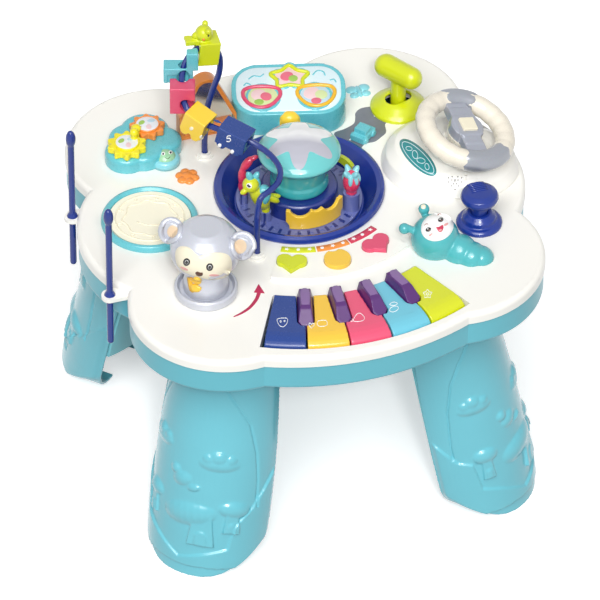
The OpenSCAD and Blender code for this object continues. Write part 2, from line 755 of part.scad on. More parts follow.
function curve_point(p0, p1, p2, p3, t) = 0.5 * (2 * p1 + (p2 - p0) * t
  + (2 * p0 - 5 * p1 + 4 * p2 - p3) * t * t + (3 * p1 - p0 - 3 * p2 + p3) * t * t * t);
function route(i) = RAIL[max(0, min(len(RAIL) - 1, i))] + [0, 0, table_h];
function rail_point(u) = let (i = floor(u)) curve_point(route(i - 1), route(i), route(i + 1),
  route(i + 2), u - i);
function unit(v) = v / norm(v);
function rail_heading(u) = unit(rail_point(u + 0.02) - rail_point(u - 0.02));

// Tube of radius r along the rail from u0 to u1
module rail_tube(r, u0, u1, cuts = rail_cuts) {
  n = max(2, round((u1 - u0) * cuts));
  us = [for (i = [0:n]) u0 + (u1 - u0) * i / n];
  side = unit([0.53, -0.85, 0.02]);
  rings = [for (u = us) let (t = rail_heading(u), a = unit(cross(t, side)), b = cross(t, a), c = rail_point(u))
    for (k = [0:rail_sides - 1]) c + r * (a * cos(360 * k / rail_sides) + b * sin(360 * k / rail_sides))];
  wall_faces = [for (i = [0:n - 1], k = [0:rail_sides - 1]) let (m = (k + 1) % rail_sides)
    [i * rail_sides + k, i * rail_sides + m, (i + 1) * rail_sides + m, (i + 1) * rail_sides + k]];
  caps = [[for (k = [rail_sides - 1:-1:0]) k], [for (k = [0:rail_sides - 1]) n * rail_sides + k]];
  polyhedron(points = rings, faces = concat(wall_faces, caps), convexity = 10);
}

boss_r = 8;
boss_h = 6;

module rail() color("midnightblue") rail_tube(rail_r, 0, len(RAIL) - 1);

// Turns x along the rail's heading at u and keeps z as upright as it can
module on_rail(u) {
  p = rail_point(u);
  t = rail_heading(u);
  translate(p) rotate([0, -asin(t[2]), atan2(t[1], t[0])]) children();
}

upright_turn = -17.5; // direction of the two upright cars' wide axis
car_gap = 2.2;      // room between two cars' bodies

// Upright at u on the rail, x along the car's wide axis
module upright_on_rail(u) translate(rail_point(u)) rotate(upright_turn) children();

// Hole of the rail through a car: two straight bores of radius r that meet inside it
module car_bore(u, reach, r) {
  for (s = [-1, 1]) {
    a = rail_point(u - s * 0.15);
    d = rail_point(u + s * reach) - a;
    translate(a) rotate([0, acos(d[2] / norm(d)), atan2(d[1], d[0])])
      cylinder(r = r, h = norm(d) + 8);
  }
}

// Car turned by a and tipped by b from the rail's heading at u
module car_body(u, reach, r, a = 0, b = 0) difference() {
  on_rail(u) rotate([0, b, a]) children();
  car_bore(u, reach, r);
}

// Hook on a car's end that reaches into the next car's notch
module hook(x) {
  translate([x - 1, -3, 0]) cube([6, 6, 4]);
  translate([x + 6, 0, 0]) cylinder(r = 4, h = 4);
}

module wheels(xs, y, z) {
  for (x = xs) translate([x, y, z]) rotate([90, 0, 0]) cylinder(r = 4.5, h = 2 * y);
}

CAR_U = [16.2, 14.1, 12.7, 11, 8.95];   // places of the cars along the rail
bore_r = [6.6, 5.8, 6.6, 6.4, 5.8];    // radius of the hole in each car

module car_5() color("mediumblue") car_body(CAR_U[4], 1.3, bore_r[4], -8) {
  translate([-15, -11, -10]) cube([30, 22, 19]);
  wheels([-8, 8], 11, -10);
  hook(15);
}
module car_4() color("gold") car_body(CAR_U[3], 1.2, bore_r[3], 0) {
  difference() {
    translate([-12, -11, -12]) cube([23.5, 22, 22]);
    translate([-13, -5.5, -1]) cube([9, 11, 6]);
  }
  wheels([-6, 6], 11, -12);
}
module car_3() color("hotpink") difference() {
  upright_on_rail(CAR_U[2]) translate([-12, -8, -15]) cube([24, 17, 30]);
  car_bore(CAR_U[2], 1.2, bore_r[2]);
  on_rail(CAR_U[3]) translate([-12, -11, -12] - car_gap * [1, 1, 1]) cube([24, 22, 22] + 2 * car_gap * [1, 1, 1]);
}
module car_2() color("lightseagreen") difference() {
  upright_on_rail(CAR_U[1]) {
    translate([-19, -7, -14]) cube([28, 15, 17]);
    translate([3, -7, 1]) cube([11, 15, 20]);
  }
  car_bore(CAR_U[1], 1.1, bore_r[1]);
  upright_on_rail(CAR_U[2]) translate([-12, -8, -15] - car_gap * [1, 1, 1]) cube([24, 17, 30] + 2 * car_gap * [1, 1, 1]);
  on_rail(CAR_U[0]) {
    translate([-9, -11, -16] - car_gap * [1, 1, 1]) cube([20, 22, 26] + 2 * car_gap * [1, 1, 1]);
    translate([-22, -5, 0] - car_gap * [1, 1, 1]) cube([16, 10, 10] + 2 * car_gap * [1, 1, 1]);
  }
}
module car_1() color("yellowgreen") difference() {
  on_rail(CAR_U[0]) {
    translate([-9, -11, -16]) cube([20, 22, 26]);
    translate([-22, -5, 0]) cube([16, 10, 10]);
    translate([-4, 0, 15]) sphere(r = 8.5);
    for (s = [-1, 1]) translate([-2, s * 6.5, 22]) sphere(r = 3);
    translate([-12, 0, 13]) sphere(r = 3.5);
  }
  on_rail(CAR_U[0]) {
    rotate([0, 90, 0]) cylinder(r = bore_r[0], h = 60, center = true);
    translate([-30, -bore_r[0], -30]) cube([60, 2 * bore_r[0], 30]);
  }
}

// ---------- mirror and story box ----------

mirror_h = 69;
mirror_tip_r = 13;  // radius of the mirror's rounded tip
mirror_slant = 24;  // slant of its sides
mirror_t = 14;
mirror_rim = 4;     // width of its frame
mirror_side = [-30, 36];

// Tent-shaped outline, its left foot cut short, d inside the frame's outside
module tent_outline(d) {
  k = tan(mirror_slant);
  z = mirror_h - mirror_tip_r + mirror_tip_r * sin(mirror_slant);
  w = mirror_tip_r * cos(mirror_slant);
  e = d / cos(mirror_slant);
  polygon([[mirror_side[0] + d, d], [-3 + w + k * (z - d) - e, d], [-3 + w - e, z], [-3 - w + e, z],
    [mirror_side[0] + d, z - (mirror_side[0] * -1 - 3 - w + e - d) / k]]);
  translate([-3, mirror_h - mirror_tip_r]) circle(r = mirror_tip_r - d);
}

module upright_mirror() translate([MIRROR[0], MIRROR[1], table_h]) rotate([90, 0, 0]) children();

// Space of the story box, grown by c
module box_space(c) translate([BOX[0], BOX[1], table_h - over]) rotate(box_turn)
  linear_extrude(box_back_h + 2 * over) box_outline(-c);

module mirror_frame() color("orange") difference() {
  upright_mirror() difference() {
    linear_extrude(mirror_t, center = true) tent_outline(0);
    translate([0, 0, 2.5 - mirror_t / 2]) linear_extrude(mirror_t) tent_outline(mirror_rim);
  }
  box_space(fit);
}

module mirror_glass() color("lightgray") difference() {
  upright_mirror() translate([0, 0, 2.5 - mirror_t / 2]) linear_extrude(1.6) tent_outline(mirror_rim + 0.1);
  box_space(fit);
}

box_w = 110;
box_d = 62;
box_front_h = 26;
box_back_h = 38;
box_corner = 26;
box_turn = -15;

module box_outline(c) {
  x = box_w / 2 - box_corner;
  y = box_d / 2 - box_corner;
  square([2 * (x + box_corner - c), 2 * y], center = true);
  square([2 * x, 2 * (y + box_corner - c)], center = true);
  for (i = [-1, 1], j = [-1, 1]) translate([i * x, j * y]) circle(r = box_corner - c);
}

box_slope = atan((box_back_h - box_front_h) / box_d);

// Puts its children on the box's sloping lid, x across and y up the slope
module on_lid(x, y) translate([0, -box_d / 2, box_front_h]) rotate([box_slope, 0, 0])
  translate([x, y + box_d / 2, 0]) children();

module star_outline(r) {
  for (a = [90:72:378]) rotate(a) translate([r * 0.62, 0]) circle(r = r * 0.36);
  circle(r = r * 0.7);
}

// Everything above the box's lid, d below its face
module above_lid(d) translate([0, -box_d / 2, box_front_h - d]) rotate([box_slope, 0, 0])
  translate([-box_w, -box_d, 0]) cube([2 * box_w, 3 * box_d, 60]);

module story_box() color("mediumturquoise") difference() {
  translate([BOX[0], BOX[1], table_h]) rotate(box_turn) box_body();
  translate([bowl_x, bowl_y, table_h - over]) cylinder(r = bowl_r + fit, h = 9 + over);
}

module box_body() {
  difference() {
    linear_extrude(box_back_h + 4) box_outline(0);
    above_lid(0);
    difference() {
      translate([0, 0, -over]) linear_extrude(box_back_h + 4) box_outline(wall);
      above_lid(4.6);
    }
    on_lid(2, 15) translate([0, 0, -1.5]) linear_extrude(9) star_outline(15);
    for (s = [-1, 1]) on_lid(s * 25, -10) translate([0, 0, -1.5]) linear_extrude(9) circle(r = 14);
  }
  on_lid(0, 0) for (s = [-1, 1]) translate([s * 25, -10, -1]) difference() {
    cylinder(r = 17, h = 3);
    translate([0, 0, -over]) cylinder(r = 14, h = 6);
  }
  on_lid(2, 15) translate([0, 0, -1]) linear_extrude(3) difference() {
    star_outline(18);
    star_outline(15);
  }
  translate([-11, -box_d / 2 - 3, 0]) cube([22, 8, 16]);
}

// ---------- road car ----------

road_angle = 40;
car_ahead = 15; // travel towards the joystick
car_back = 2;   // travel towards the bowl

module toy_car() color("mediumturquoise") translate([TOY_CAR[0], TOY_CAR[1], table_h]) rotate(road_angle) {
  translate([-11, -7.5, 0.6]) cube([22, 15, 7]);
  translate([-6, -6.5, 7]) cube([11, 13, 6]);
  for (x = [-6.5, 6.5]) translate([x, 9, 3.6]) rotate([90, 0, 0]) cylinder(r = 3.4, h = 18);
  translate([0, 0, -top_t - 1]) cylinder(r = 2.4, h = top_t + 3);
  translate([0, 0, -top_t - 2.6]) cylinder(r = 5.5, h = 2);
}

// ---------- joystick ----------

base_cone_r = 27;
base_cone_h = 13;
lever_heading = 15; // direction in which the joystick tilts
slot_half = 5;      // half the length of the straight part of its slot

module joystick_base() color("yellowgreen") translate([JOYSTICK[0], JOYSTICK[1], table_h])
  difference() {
    rotate_extrude() polygon([[0, 0], [base_cone_r, 0], [base_cone_r, 3], [base_cone_r - 3, 6],
      [base_cone_r - 10, 11], [base_cone_r - 14, base_cone_h], [0, base_cone_h]]);
    translate([0, 0, -over]) cylinder(r1 = base_cone_r - 3, r2 = 11, h = base_cone_h - 2 + over);
    rotate(lever_heading) {
      for (s = [-1, 1]) translate([s * slot_half, 0, 0]) cylinder(r = stick_r + 1, h = 20);
      translate([-slot_half, -stick_r - 1, 0]) cube([2 * slot_half, 2 * stick_r + 2, 20]);
    }
  }

stick_pivot_z = table_h - 2;

module joystick() color("yellowgreen") translate([JOYSTICK[0], JOYSTICK[1], stick_pivot_z]) {
  sphere(r = stick_r + 1.5);
  cylinder(r = stick_r, h = stick_h + 2);
  translate([0, 0, stick_h + 2]) rotate([0, 90, -56]) {
    translate([0, 0, -14.5]) sphere(r = 11.8);
    translate([0, 0, -14.5]) cylinder(r1 = 11.8, r2 = 11, h = 30);
    translate([0, 0, 15.5]) sphere(r = 11);
  }
}

// ---------- steering ----------

console_h = 24;
wheel_heading = -31; // direction in which the steering column leans
column_len = 26;

module console_hump(p, r, h, z = 0) translate([p[0], p[1], table_h + z]) rotate_extrude()
  polygon([[0, 0], [r, 0], [r - 1, 4], [r - 5, h * 0.55], [r - 14, h * 0.86], [r - 28, h], [0, h]]);

module at_wheel(d) translate([WHEEL_FOOT[0], WHEEL_FOOT[1], table_h + console_h - 4])
  rotate(wheel_heading) rotate([0, wheel_lean, 0]) translate([0, 0, d]) children();

module wheel_console() color("ivory") difference() {
  union() {
    intersection() {
      union() {
        console_hump(CONSOLE, 56, console_h);
        console_hump([CONSOLE[0] + 24, CONSOLE[1] - 16], 50, console_h - 1);
      }
      lobed(edge_f + 1, table_h - over, table_h + console_h + over);
    }
    at_wheel(-6) cylinder(r1 = 24, r2 = 19, h = 20);
  }
  at_wheel(-14) cylinder(r = shaft_r + run, h = 60);
  difference() {
    intersection() {
      union() {
        console_hump(CONSOLE, 56 - wall, console_h - wall, -0.5);
        console_hump([CONSOLE[0] + 24, CONSOLE[1] - 16], 50 - wall, console_h - 1 - wall, -0.5);
      }
      lobed(edge_f + 1 + wall, table_h - over, table_h + console_h + over);
    }
    at_wheel(-40) cylinder(r = 13, h = 60);
  }
  for (x = [0:4], y = [0:2]) translate([150 + x * 4 - y * 2, -29 + y * 4 - x * 1.2, table_h + console_h - 9])
    cylinder(r = 1, h = 12);
}

hub_z = 34;         // height of the wheel above the console along the column
bar_turn = -55;     // direction of the wheel's bar

module steering_wheel() color("seashell") at_wheel(hub_z) {
  rotate_extrude($fn = 96) translate([wheel_r, 0]) circle(r = wheel_tube_r);
  difference() {
    union() {
      translate([0, 0, -5]) cylinder(r = 17, h = 12);
      for (a = [0, 180]) rotate(a + bar_turn) translate([8, -11, -4]) cube([wheel_r - 9, 22, 8]);
    }
    rotate(bar_turn) translate([-8, -8, 2]) cube([16, 16, 10]);
  }
  translate([0, 0, -44]) cylinder(r = shaft_r, h = 42);
  translate([0, 0, -18]) cylinder(r1 = 11, r2 = 17, h = 14);
}

module horn_button() color("bisque") at_wheel(hub_z) {
  rotate(bar_turn) translate([-7.6, -7.6, 4.2]) cube([15.2, 15.2, 6]);
}

// ---------- plunger and grub ----------

plunger_base_h = 15;

module plunger_base() color("mediumblue") translate([PLUNGER[0], PLUNGER[1], table_h]) difference() {
  rotate_extrude() polygon([[0, 0], [22, 0], [22, 3], [20, 5], [16.5, 6], [16, 10],
    [14, plunger_base_h - 3], [11.5, plunger_base_h], [0, plunger_base_h]]);
  translate([0, 0, -over]) cylinder(r = plunger_r + run, h = plunger_base_h + 2 * over);
}

module plunger_knob() color("mediumblue") translate([PLUNGER[0], PLUNGER[1], table_h]) {
  translate([0, 0, -6]) cylinder(r = plunger_r, h = 36);
  translate([0, 0, -3.6]) cylinder(r = plunger_r + 2, h = 3.5);
  translate([0, 0, 27]) rotate_extrude() polygon([[0, 0], [13, 0], [17, 2.5], [18.3, 6], [17, 10],
    [12, 12.8], [0, 14]]);
}

// Head and body lumps of the grub: [forward, side, height, radius]
GRUB_LUMPS = [[0, 0, 12, 23], [25, 0, 3, 16.5], [37, -1, 0, 15], [46, 1, -1, 12.5]];
grub_heading = -38;

module grub_lumps(d) rotate(grub_heading) for (l = GRUB_LUMPS)
  translate([l[0], l[1], l[2]]) sphere(r = l[3] - d);

// Crawling grub: a round head and a body of lumps, a shell open below
module grub() color("mediumturquoise") intersection() {
  translate([GRUB[0], GRUB[1], table_h]) difference() {
    union() {
      grub_lumps(0);
      for (p = [[-28, 8, 24], [-3, 25, 28]]) {
        translate(p) sphere(r = 5.4);
        rotate(atan2(p[1], p[0])) translate([12, 0, 17]) rotate([0, 62, 0]) cylinder(r = 3.6, h = 17);
      }
    }
    grub_lumps(wall + 0.6);
  }
  translate([0, -200, table_h]) cube([300, 300, 100]);
}

// ---------- gears ----------

cloud_h = 15;
yellow_pitch = tooth_pitch * yellow_teeth;
orange_pitch = tooth_pitch * orange_teeth;
gear_line = 37.5;   // direction from the yellow gear to the orange one
gear_span = yellow_pitch + orange_pitch + 0.5;
ORANGE_GEAR = YELLOW_GEAR + gear_span * [cos(gear_line), sin(gear_line)];
gear_z = table_h + cloud_h + 0.4;
gear_pin_r = 3;

module gear_cloud() color("lightseagreen") {
  difference() {
    union() {
      for (c = [[-20, -20, 21], [5, 4, 24], [-12, -2, 20], [-4, -22, 20], [18, -14, 18]])
        translate([CLOUD[0] + c[0], CLOUD[1] + c[1], table_h]) rounded_disc(c[2], cloud_h, 5);
      translate([CLOUD[0] + 14, CLOUD[1] - 34, table_h]) rounded_disc(14, 8, 4);
    }
    for (g = [YELLOW_GEAR, ORANGE_GEAR]) translate([g[0], g[1], table_h - over])
      cylinder(r = gear_pin_r + run, h = cloud_h + 2 * over);
  }
  difference() {
    translate([CLOUD[0] + 14, CLOUD[1] - 34, table_h + 3]) sphere(r = 11);
    translate([CLOUD[0] - 10, CLOUD[1] - 60, table_h - 20]) cube([50, 50, 20]);
  }
}

// Gear with round teeth, one tooth on +X
module round_gear(teeth, pitch) {
  steps = teeth * 10;
  linear_extrude(gear_t) polygon([for (i = [0:steps - 1]) let (a = 360 * i / steps,
    r = pitch - 0.1 + 2.1 * cos(teeth * a)) [r * cos(a), r * sin(a)]]);
  translate([0, 0, -cloud_h - 0.4]) cylinder(r = gear_pin_r, h = cloud_h + 1);
  translate([0, 0, -cloud_h - top_t - 3]) cylinder(r = gear_pin_r, h = top_t + 4);
}

module yellow_gear() color("gold") translate([YELLOW_GEAR[0], YELLOW_GEAR[1], gear_z]) {
  rotate(gear_line) round_gear(yellow_teeth, yellow_pitch);
  cylinder(r = 9, h = gear_t + 1.5);
  translate([8.5, 4, gear_t - 1]) cylinder(r = 3.4, h = 9);
  translate([8.5, 4, gear_t + 8]) sphere(r = 4.4);
}

module orange_gear() color("orange") translate([ORANGE_GEAR[0], ORANGE_GEAR[1], gear_z]) {
  rotate(gear_line + 180 + 180 / orange_teeth) round_gear(orange_teeth, orange_pitch);
  cylinder(r = 8, h = gear_t + 1.5);
}

// ---------- monkey ----------

module monkey_base() color("lightgray") translate([MONKEY[0], MONKEY[1], table_h]) difference() {
  rotate_extrude() polygon([[0, 0], [28, 0], [30, 3], [30, 9], [28.5, 11], [27, 11], [25.5, 6], [0, 6]]);
  translate([0, 0, -over]) cylinder(r = 7 + run, h = 20);
}

monkey_z = 6.4;

head_z = 56;        // height of the widest part of the head
HEAD = [[14, -24], [24, -20], [31, -13], [33.5, -5], [33.5, 2], [31.5, 9], [27.5, 16], [22, 21.5], [16, 25]];
BODY = [[21, 0], [22, 4], [21.5, 11], [19, 20], [15, 28]];

// Head and body of the monkey, d inside their faces
module monkey_head(d) translate([0, 0, head_z]) rotate_extrude()
  polygon(concat([[0, HEAD[0][1] + d]], [for (p = HEAD) [p[0] - d, p[1] + (p[1] > 0 ? -d : d) * 0.5]], [[0, HEAD[8][1] - d]]));
module monkey_body(d) translate([0, 0, monkey_z]) rotate_extrude()
  polygon(concat([[0, 0]], [for (p = BODY) [p[0] - d, p[1]]], [[0, 28]]));

// Two hollow mouldings on a tube that turns in the base
module monkey() color("silver") translate([MONKEY[0], MONKEY[1], table_h]) difference() {
  union() {
    translate([0, 0, -5]) cylinder(r = 7, h = 14);
    monkey_body(0);
    monkey_head(0);
    rotate(-35) for (s = [-1, 1]) translate([s * 34, 3, 64]) rotate([90, 0, 0])
      cylinder(r = 13, h = 8, center = true);
  }
  monkey_head(wall);
  translate([0, 0, -6]) cylinder(r = 4.5, h = 45);
  intersection() {
    monkey_body(wall);
    difference() {
      translate([0, 0, monkey_z - over]) cylinder(r = 40, h = 22);
      cylinder(r = 8.5, h = 60);
    }
  }
}

// ---------- drum ----------

module drum_ring() color("mediumturquoise") translate([DRUM[0], DRUM[1], table_h])
  rotate_extrude($fn = 96) polygon([[drum_head_r + 0.6, 0], [drum_r, 0], [drum_r, 3],
    [drum_r - 1.5, 6], [drum_r - 4, 7], [drum_head_r + 2.5, 6], [drum_head_r + 0.6, 4.5]]);

drum_lift = 1.8;    // gap under the drum head, taken up when it is struck

module drum_head() color("cornsilk") translate([DRUM[0], DRUM[1], table_h + drum_lift]) {
  cylinder(r = drum_head_r, h = 2.6);
  translate([0, 0, -8]) cylinder(r = 6, h = 9);
}

stick_up = 105;     // length of a drumstick above its tab

module drumstick(p) color("midnightblue") translate([p[0], p[1], tab_z + tab_t]) {
  translate([0, 0, stick_up - drumstick_len + drumstick_r]) {
    cylinder(r = drumstick_r, h = drumstick_len - drumstick_r - 12);
    sphere(r = drumstick_r);
  }
  cylinder(r1 = drumstick_r + 2.4, r2 = drumstick_r, h = 5);
  translate([0, 0, stick_up - 10]) egg(4.8, 10);
}

// ---------- nodes ----------

top_shell();
bottom_shell();
leg(0);  // leg_front_left
leg(1);  // leg_front_right
leg(2);  // leg_back_left
leg(3);  // leg_back_right
leg_liners();
battery_door();
batteries();
circuit_board();
speaker();
case_screws();
power_switch();
key(0, "mediumblue");  // key_1
key(1, "gold");  // key_2
key(2, "deeppink");  // key_3
key(3, "mediumturquoise");  // key_4
key(4, "yellowgreen");  // key_5
half_key(0);  // half_key_1
half_key(1);  // half_key_2
half_key(2);  // half_key_3
half_key(3);  // half_key_4
button_panel();
panel_button(0, "yellowgreen");  // button_lime
panel_button(1, "gold");  // button_yellow
panel_button(2, "hotpink");  // button_pink
bowl();
carousel();
dome();
parrot();
red_bird();
berry();
wave_fence();
rail();
car_1();
car_2();
car_3();
car_4();
car_5();
mirror_frame();
mirror_glass();
story_box();
toy_car();
joystick_base();
joystick();
wheel_console();
steering_wheel();
horn_button();
plunger_base();
plunger_knob();
grub();
gear_cloud();
yellow_gear();
orange_gear();
monkey_base();
monkey();
drum_ring();
drum_head();
drumstick(STICKS[0]);  // drumstick_1
drumstick(STICKS[1]);  // drumstick_2
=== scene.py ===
"""Looks of the musical activity table: plastics, faces, prints and reliefs on its solids."""

import json
import math

import bmesh
import bpy
from mathutils import Matrix, Vector
from mathutils.bvhtree import BVHTree


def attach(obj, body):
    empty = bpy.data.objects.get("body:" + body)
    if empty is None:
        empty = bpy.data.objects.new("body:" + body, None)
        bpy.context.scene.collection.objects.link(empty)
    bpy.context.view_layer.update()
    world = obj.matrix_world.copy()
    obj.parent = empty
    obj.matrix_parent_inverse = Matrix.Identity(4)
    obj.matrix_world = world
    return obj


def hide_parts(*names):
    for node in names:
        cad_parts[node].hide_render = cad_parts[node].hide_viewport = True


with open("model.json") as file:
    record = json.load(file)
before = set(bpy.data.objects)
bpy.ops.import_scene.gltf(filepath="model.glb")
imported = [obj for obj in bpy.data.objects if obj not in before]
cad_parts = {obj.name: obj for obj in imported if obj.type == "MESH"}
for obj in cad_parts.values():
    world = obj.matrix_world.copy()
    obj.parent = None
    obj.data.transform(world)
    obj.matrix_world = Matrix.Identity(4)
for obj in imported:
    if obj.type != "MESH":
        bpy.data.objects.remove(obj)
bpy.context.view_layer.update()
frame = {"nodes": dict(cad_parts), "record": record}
cad = frame["nodes"]
body_of = {n: b for b, members in frame["record"]["behaviour"]["bodies"].items() for n in members}

MM = 0.001
TOP = 280.0  # playing surface above the floor, mm
BOWL = (3.0, 25.0)  # plan place of the bowl's centre, mm

# ---------------------------------------------------------------- camera

TURN = math.radians(17.5)  # the eye stands this far to the left of the front
TILT = math.radians(41)  # it looks down by this much
RIGHT = Vector((math.cos(TURN), -math.sin(TURN), 0))
UP = Vector((math.sin(TURN) * math.sin(TILT), math.cos(TURN) * math.sin(TILT), math.cos(TILT)))
TOWARD = Vector((-math.sin(TURN) * math.cos(TILT), -math.cos(TURN) * math.cos(TILT), math.sin(TILT)))
AIM_SIDE, AIM_DOWN = 0.0038, 0.0888  # from the middle of the playing surface to the aim, m
AIM = Vector((0, 0, TOP * MM)) - RIGHT * AIM_SIDE - UP * AIM_DOWN
AWAY = 8.0  # from the eye to its aim, m
CELLS = 600  # the view is this many cells wide and high
MIDDLE = CELLS / 2
CELL_WIDTH = 0.95 * MM  # width of one cell at the aim
SENSOR = 36.0
ABOVE = 0.8  # higher than anything on the table, m

lens = bpy.data.cameras.new("eye")
lens.sensor_width = SENSOR
lens.lens = SENSOR * AWAY / (CELLS * CELL_WIDTH)
lens.clip_end = 100
eye = bpy.data.objects.new("eye", lens)
facing = Matrix((RIGHT, UP, TOWARD)).transposed().to_4x4()
eye.matrix_world = Matrix.Translation(AIM + TOWARD * AWAY) @ facing
bpy.context.scene.collection.objects.link(eye)
bpy.context.scene.camera = eye


def ahead(u, v):
    """Sight line through the place u, v of the view, in cells from its upper left corner."""
    start = AIM + TOWARD * AWAY
    sideways, upward = RIGHT * (u - MIDDLE) * CELL_WIDTH, UP * (MIDDLE - v) * CELL_WIDTH
    return start, (AIM + sideways + upward - start).normalized()


def over(x, y):
    """Line straight down onto the plan place x, y in mm."""
    return Vector((x * MM, y * MM, ABOVE)), Vector((0, 0, -1))


def enlarged(u0, v0, times):
    """Turns places on an enlarged part of the view into places on the view itself."""
    return lambda x, y: (u0 + x / times, v0 + y / times)


def around(centre, reach, degrees):
    """Place at a distance and a direction from a centre."""
    a = math.radians(degrees)
    return centre[0] + reach * math.cos(a), centre[1] + reach * math.sin(a)


# ---------------------------------------------------------------- finishes


def paint(code):
    """Colour written as sRGB hex, as the linear colour that a shader takes."""
    parts = [int(code[i : i + 2], 16) / 255 for i in (0, 2, 4)]
    return tuple(c / 12.92 if c <= 0.04045 else ((c + 0.055) / 1.055) ** 2.4 for c in parts) + (1.0,)


def shade(colour, by):
    return tuple(min(1.0, c * by) for c in colour[:3]) + (1.0,)


class Wire:
    """A shader socket. Sums, products, powers and comparisons of wires add Math nodes."""

    def __init__(self, finish, socket):
        self.finish, self.socket = finish, socket

    def math(self, operation, *others):
        return self.finish.math(operation, self, *others)

    def out(self, name):
        """Another output of the same node."""
        return Wire(self.finish, self.socket.node.outputs[name])

    def clamp(self):
        """The wire, held between 0 and 1."""
        return self.finish.node("ShaderNodeMath", {"operation": "ADD", "use_clamp": True}, {0: self, 1: 0.0})

    def __add__(self, other):
        return self.math("ADD", other)

    def __mul__(self, other):
        return self.math("MULTIPLY", other)

    def __sub__(self, other):
        return self.math("SUBTRACT", other)

    def __rsub__(self, other):
        return self.finish.math("SUBTRACT", other, self)

    def __pow__(self, other):
        return self.math("POWER", other)

    def __gt__(self, other):
        return self.math("GREATER_THAN", other)

    def __lt__(self, other):
        return self.math("LESS_THAN", other)


class Finish:
    """One finish of a surface, or the studio's air, built up node by node."""

    def __init__(self, name, air=None):
        self.holder = air or bpy.data.materials.new(name)
        self.holder.use_nodes = True
        self.tree = self.holder.node_tree
        self.tree.nodes.clear()

    def node(self, kind, settings=None, sockets=None, output=0):
        made = self.tree.nodes.new(kind)
        for key, value in (settings or {}).items():
            setattr(made, key, value)
        for key, value in (sockets or {}).items():
            if isinstance(value, Wire):
                self.tree.links.new(value.socket, made.inputs[key])
            else:
                made.inputs[key].default_value = value
        return Wire(self, made.outputs[output]) if made.outputs else None

    def math(self, operation, *values):
        return self.node("ShaderNodeMath", {"operation": operation}, dict(enumerate(values)))

    def mix(self, share, first, second, blend="MIX"):
        settings = {"data_type": "RGBA", "blend_type": blend}
        return self.node("ShaderNodeMix", settings, {0: share, 6: first, 7: second}, 2)

    def place(self):
        return self.node("ShaderNodeTexCoord", output="Object")

    def axes(self):
        x = self.node("ShaderNodeSeparateXYZ", {}, {0: self.place()})
        return x, x.out("Y"), x.out("Z")

    def offset(self, centre):
        """Offsets from the upright axis through a plan place in mm, and the height."""
        x, y, z = self.axes()
        return x - centre[0] * MM, y - centre[1] * MM, z

    def noise(self, scale, detail=2.0, rough=0.5):
        sockets = {"Vector": self.place(), "Scale": scale, "Detail": detail, "Roughness": rough}
        return self.node("ShaderNodeTexNoise", {}, sockets)

    def surface(self, sockets, height=None, strength=0.1, distance=0.0003):
        if height is not None:
            bump = {"Height": height, "Strength": strength, "Distance": distance}
            sockets["Normal"] = self.node("ShaderNodeBump", {}, bump)
        shader = self.node("ShaderNodeBsdfPrincipled", {}, sockets)
        self.node("ShaderNodeOutputMaterial", {}, {"Surface": shader})
        return self.holder


def plastic(name, code, rough=0.3, coat=0.35, cloudy=0.035, skin=0.1, metal=0.0, shine=0.45):
    """Glossy moulded plastic: faint flow clouds in its colour, fine skin in its gloss."""
    f = Finish(name)
    tint = paint(code)
    flow = f.noise(11.0, detail=3.0)
    fine = f.noise(900.0)
    dimple = f.noise(160.0, rough=0.6)
    sockets = {
        "Base Color": f.mix(flow, shade(tint, 1 - 1.6 * cloudy), shade(tint, 1 + 1.2 * cloudy)),
        "Roughness": fine * 0.10 + dimple * 0.06 + (rough - 0.08),
        "Metallic": metal,
        "Coat Weight": coat,
        "Coat Roughness": 0.12,
        "Specular IOR Level": shine,
    }
    return f.surface(sockets, fine * 0.4 + dimple * 0.6, skin)


def soft_touch(name, code):
    """Matt rubber-like plastic with a fine spark-eroded skin."""
    f = Finish(name)
    tint = paint(code)
    fine = f.noise(1500.0, detail=3.0)
    sockets = {
        "Base Color": f.mix(f.noise(20.0), shade(tint, 0.93), shade(tint, 1.05)),
        "Roughness": fine * 0.12 + 0.42,
        "Specular IOR Level": 0.35,
    }
    return f.surface(sockets, fine, 0.25, 0.0002)


def silver_lacquer(name, code):
    """Silver-grey lacquered plastic with fine flakes."""
    f = Finish(name)
    tint = paint(code)
    flakes = f.node("ShaderNodeTexVoronoi", {"feature": "F1"}, {"Vector": f.place(), "Scale": 2200.0}, 1)
    base = f.mix(f.noise(14.0, detail=3.0), shade(tint, 0.95), shade(tint, 1.04))
    sockets = {
        "Base Color": f.mix(0.10, base, flakes, "SOFT_LIGHT"),
        "Roughness": f.noise(700.0) * 0.12 + 0.27,
        "Metallic": 0.25,
        "Coat Weight": 0.4,
        "Coat Roughness": 0.15,
    }
    return f.surface(sockets, f.noise(260.0), 0.07)


def printed(name, code, second=None, scale=60.0):
    """Ink on a smooth surface, a little uneven in cover."""
    f = Finish(name)
    tint = paint(code)
    other = paint(second) if second else shade(tint, 1.06)
    cover = f.noise(scale, detail=4.0, rough=0.6)
    sockets = {
        "Base Color": f.mix(cover, shade(tint, 0.96), other),
        "Roughness": f.noise(900.0) * 0.1 + 0.3,
        "Coat Weight": 0.25,
        "Coat Roughness": 0.2,
    }
    return f.surface(sockets, cover, 0.04)


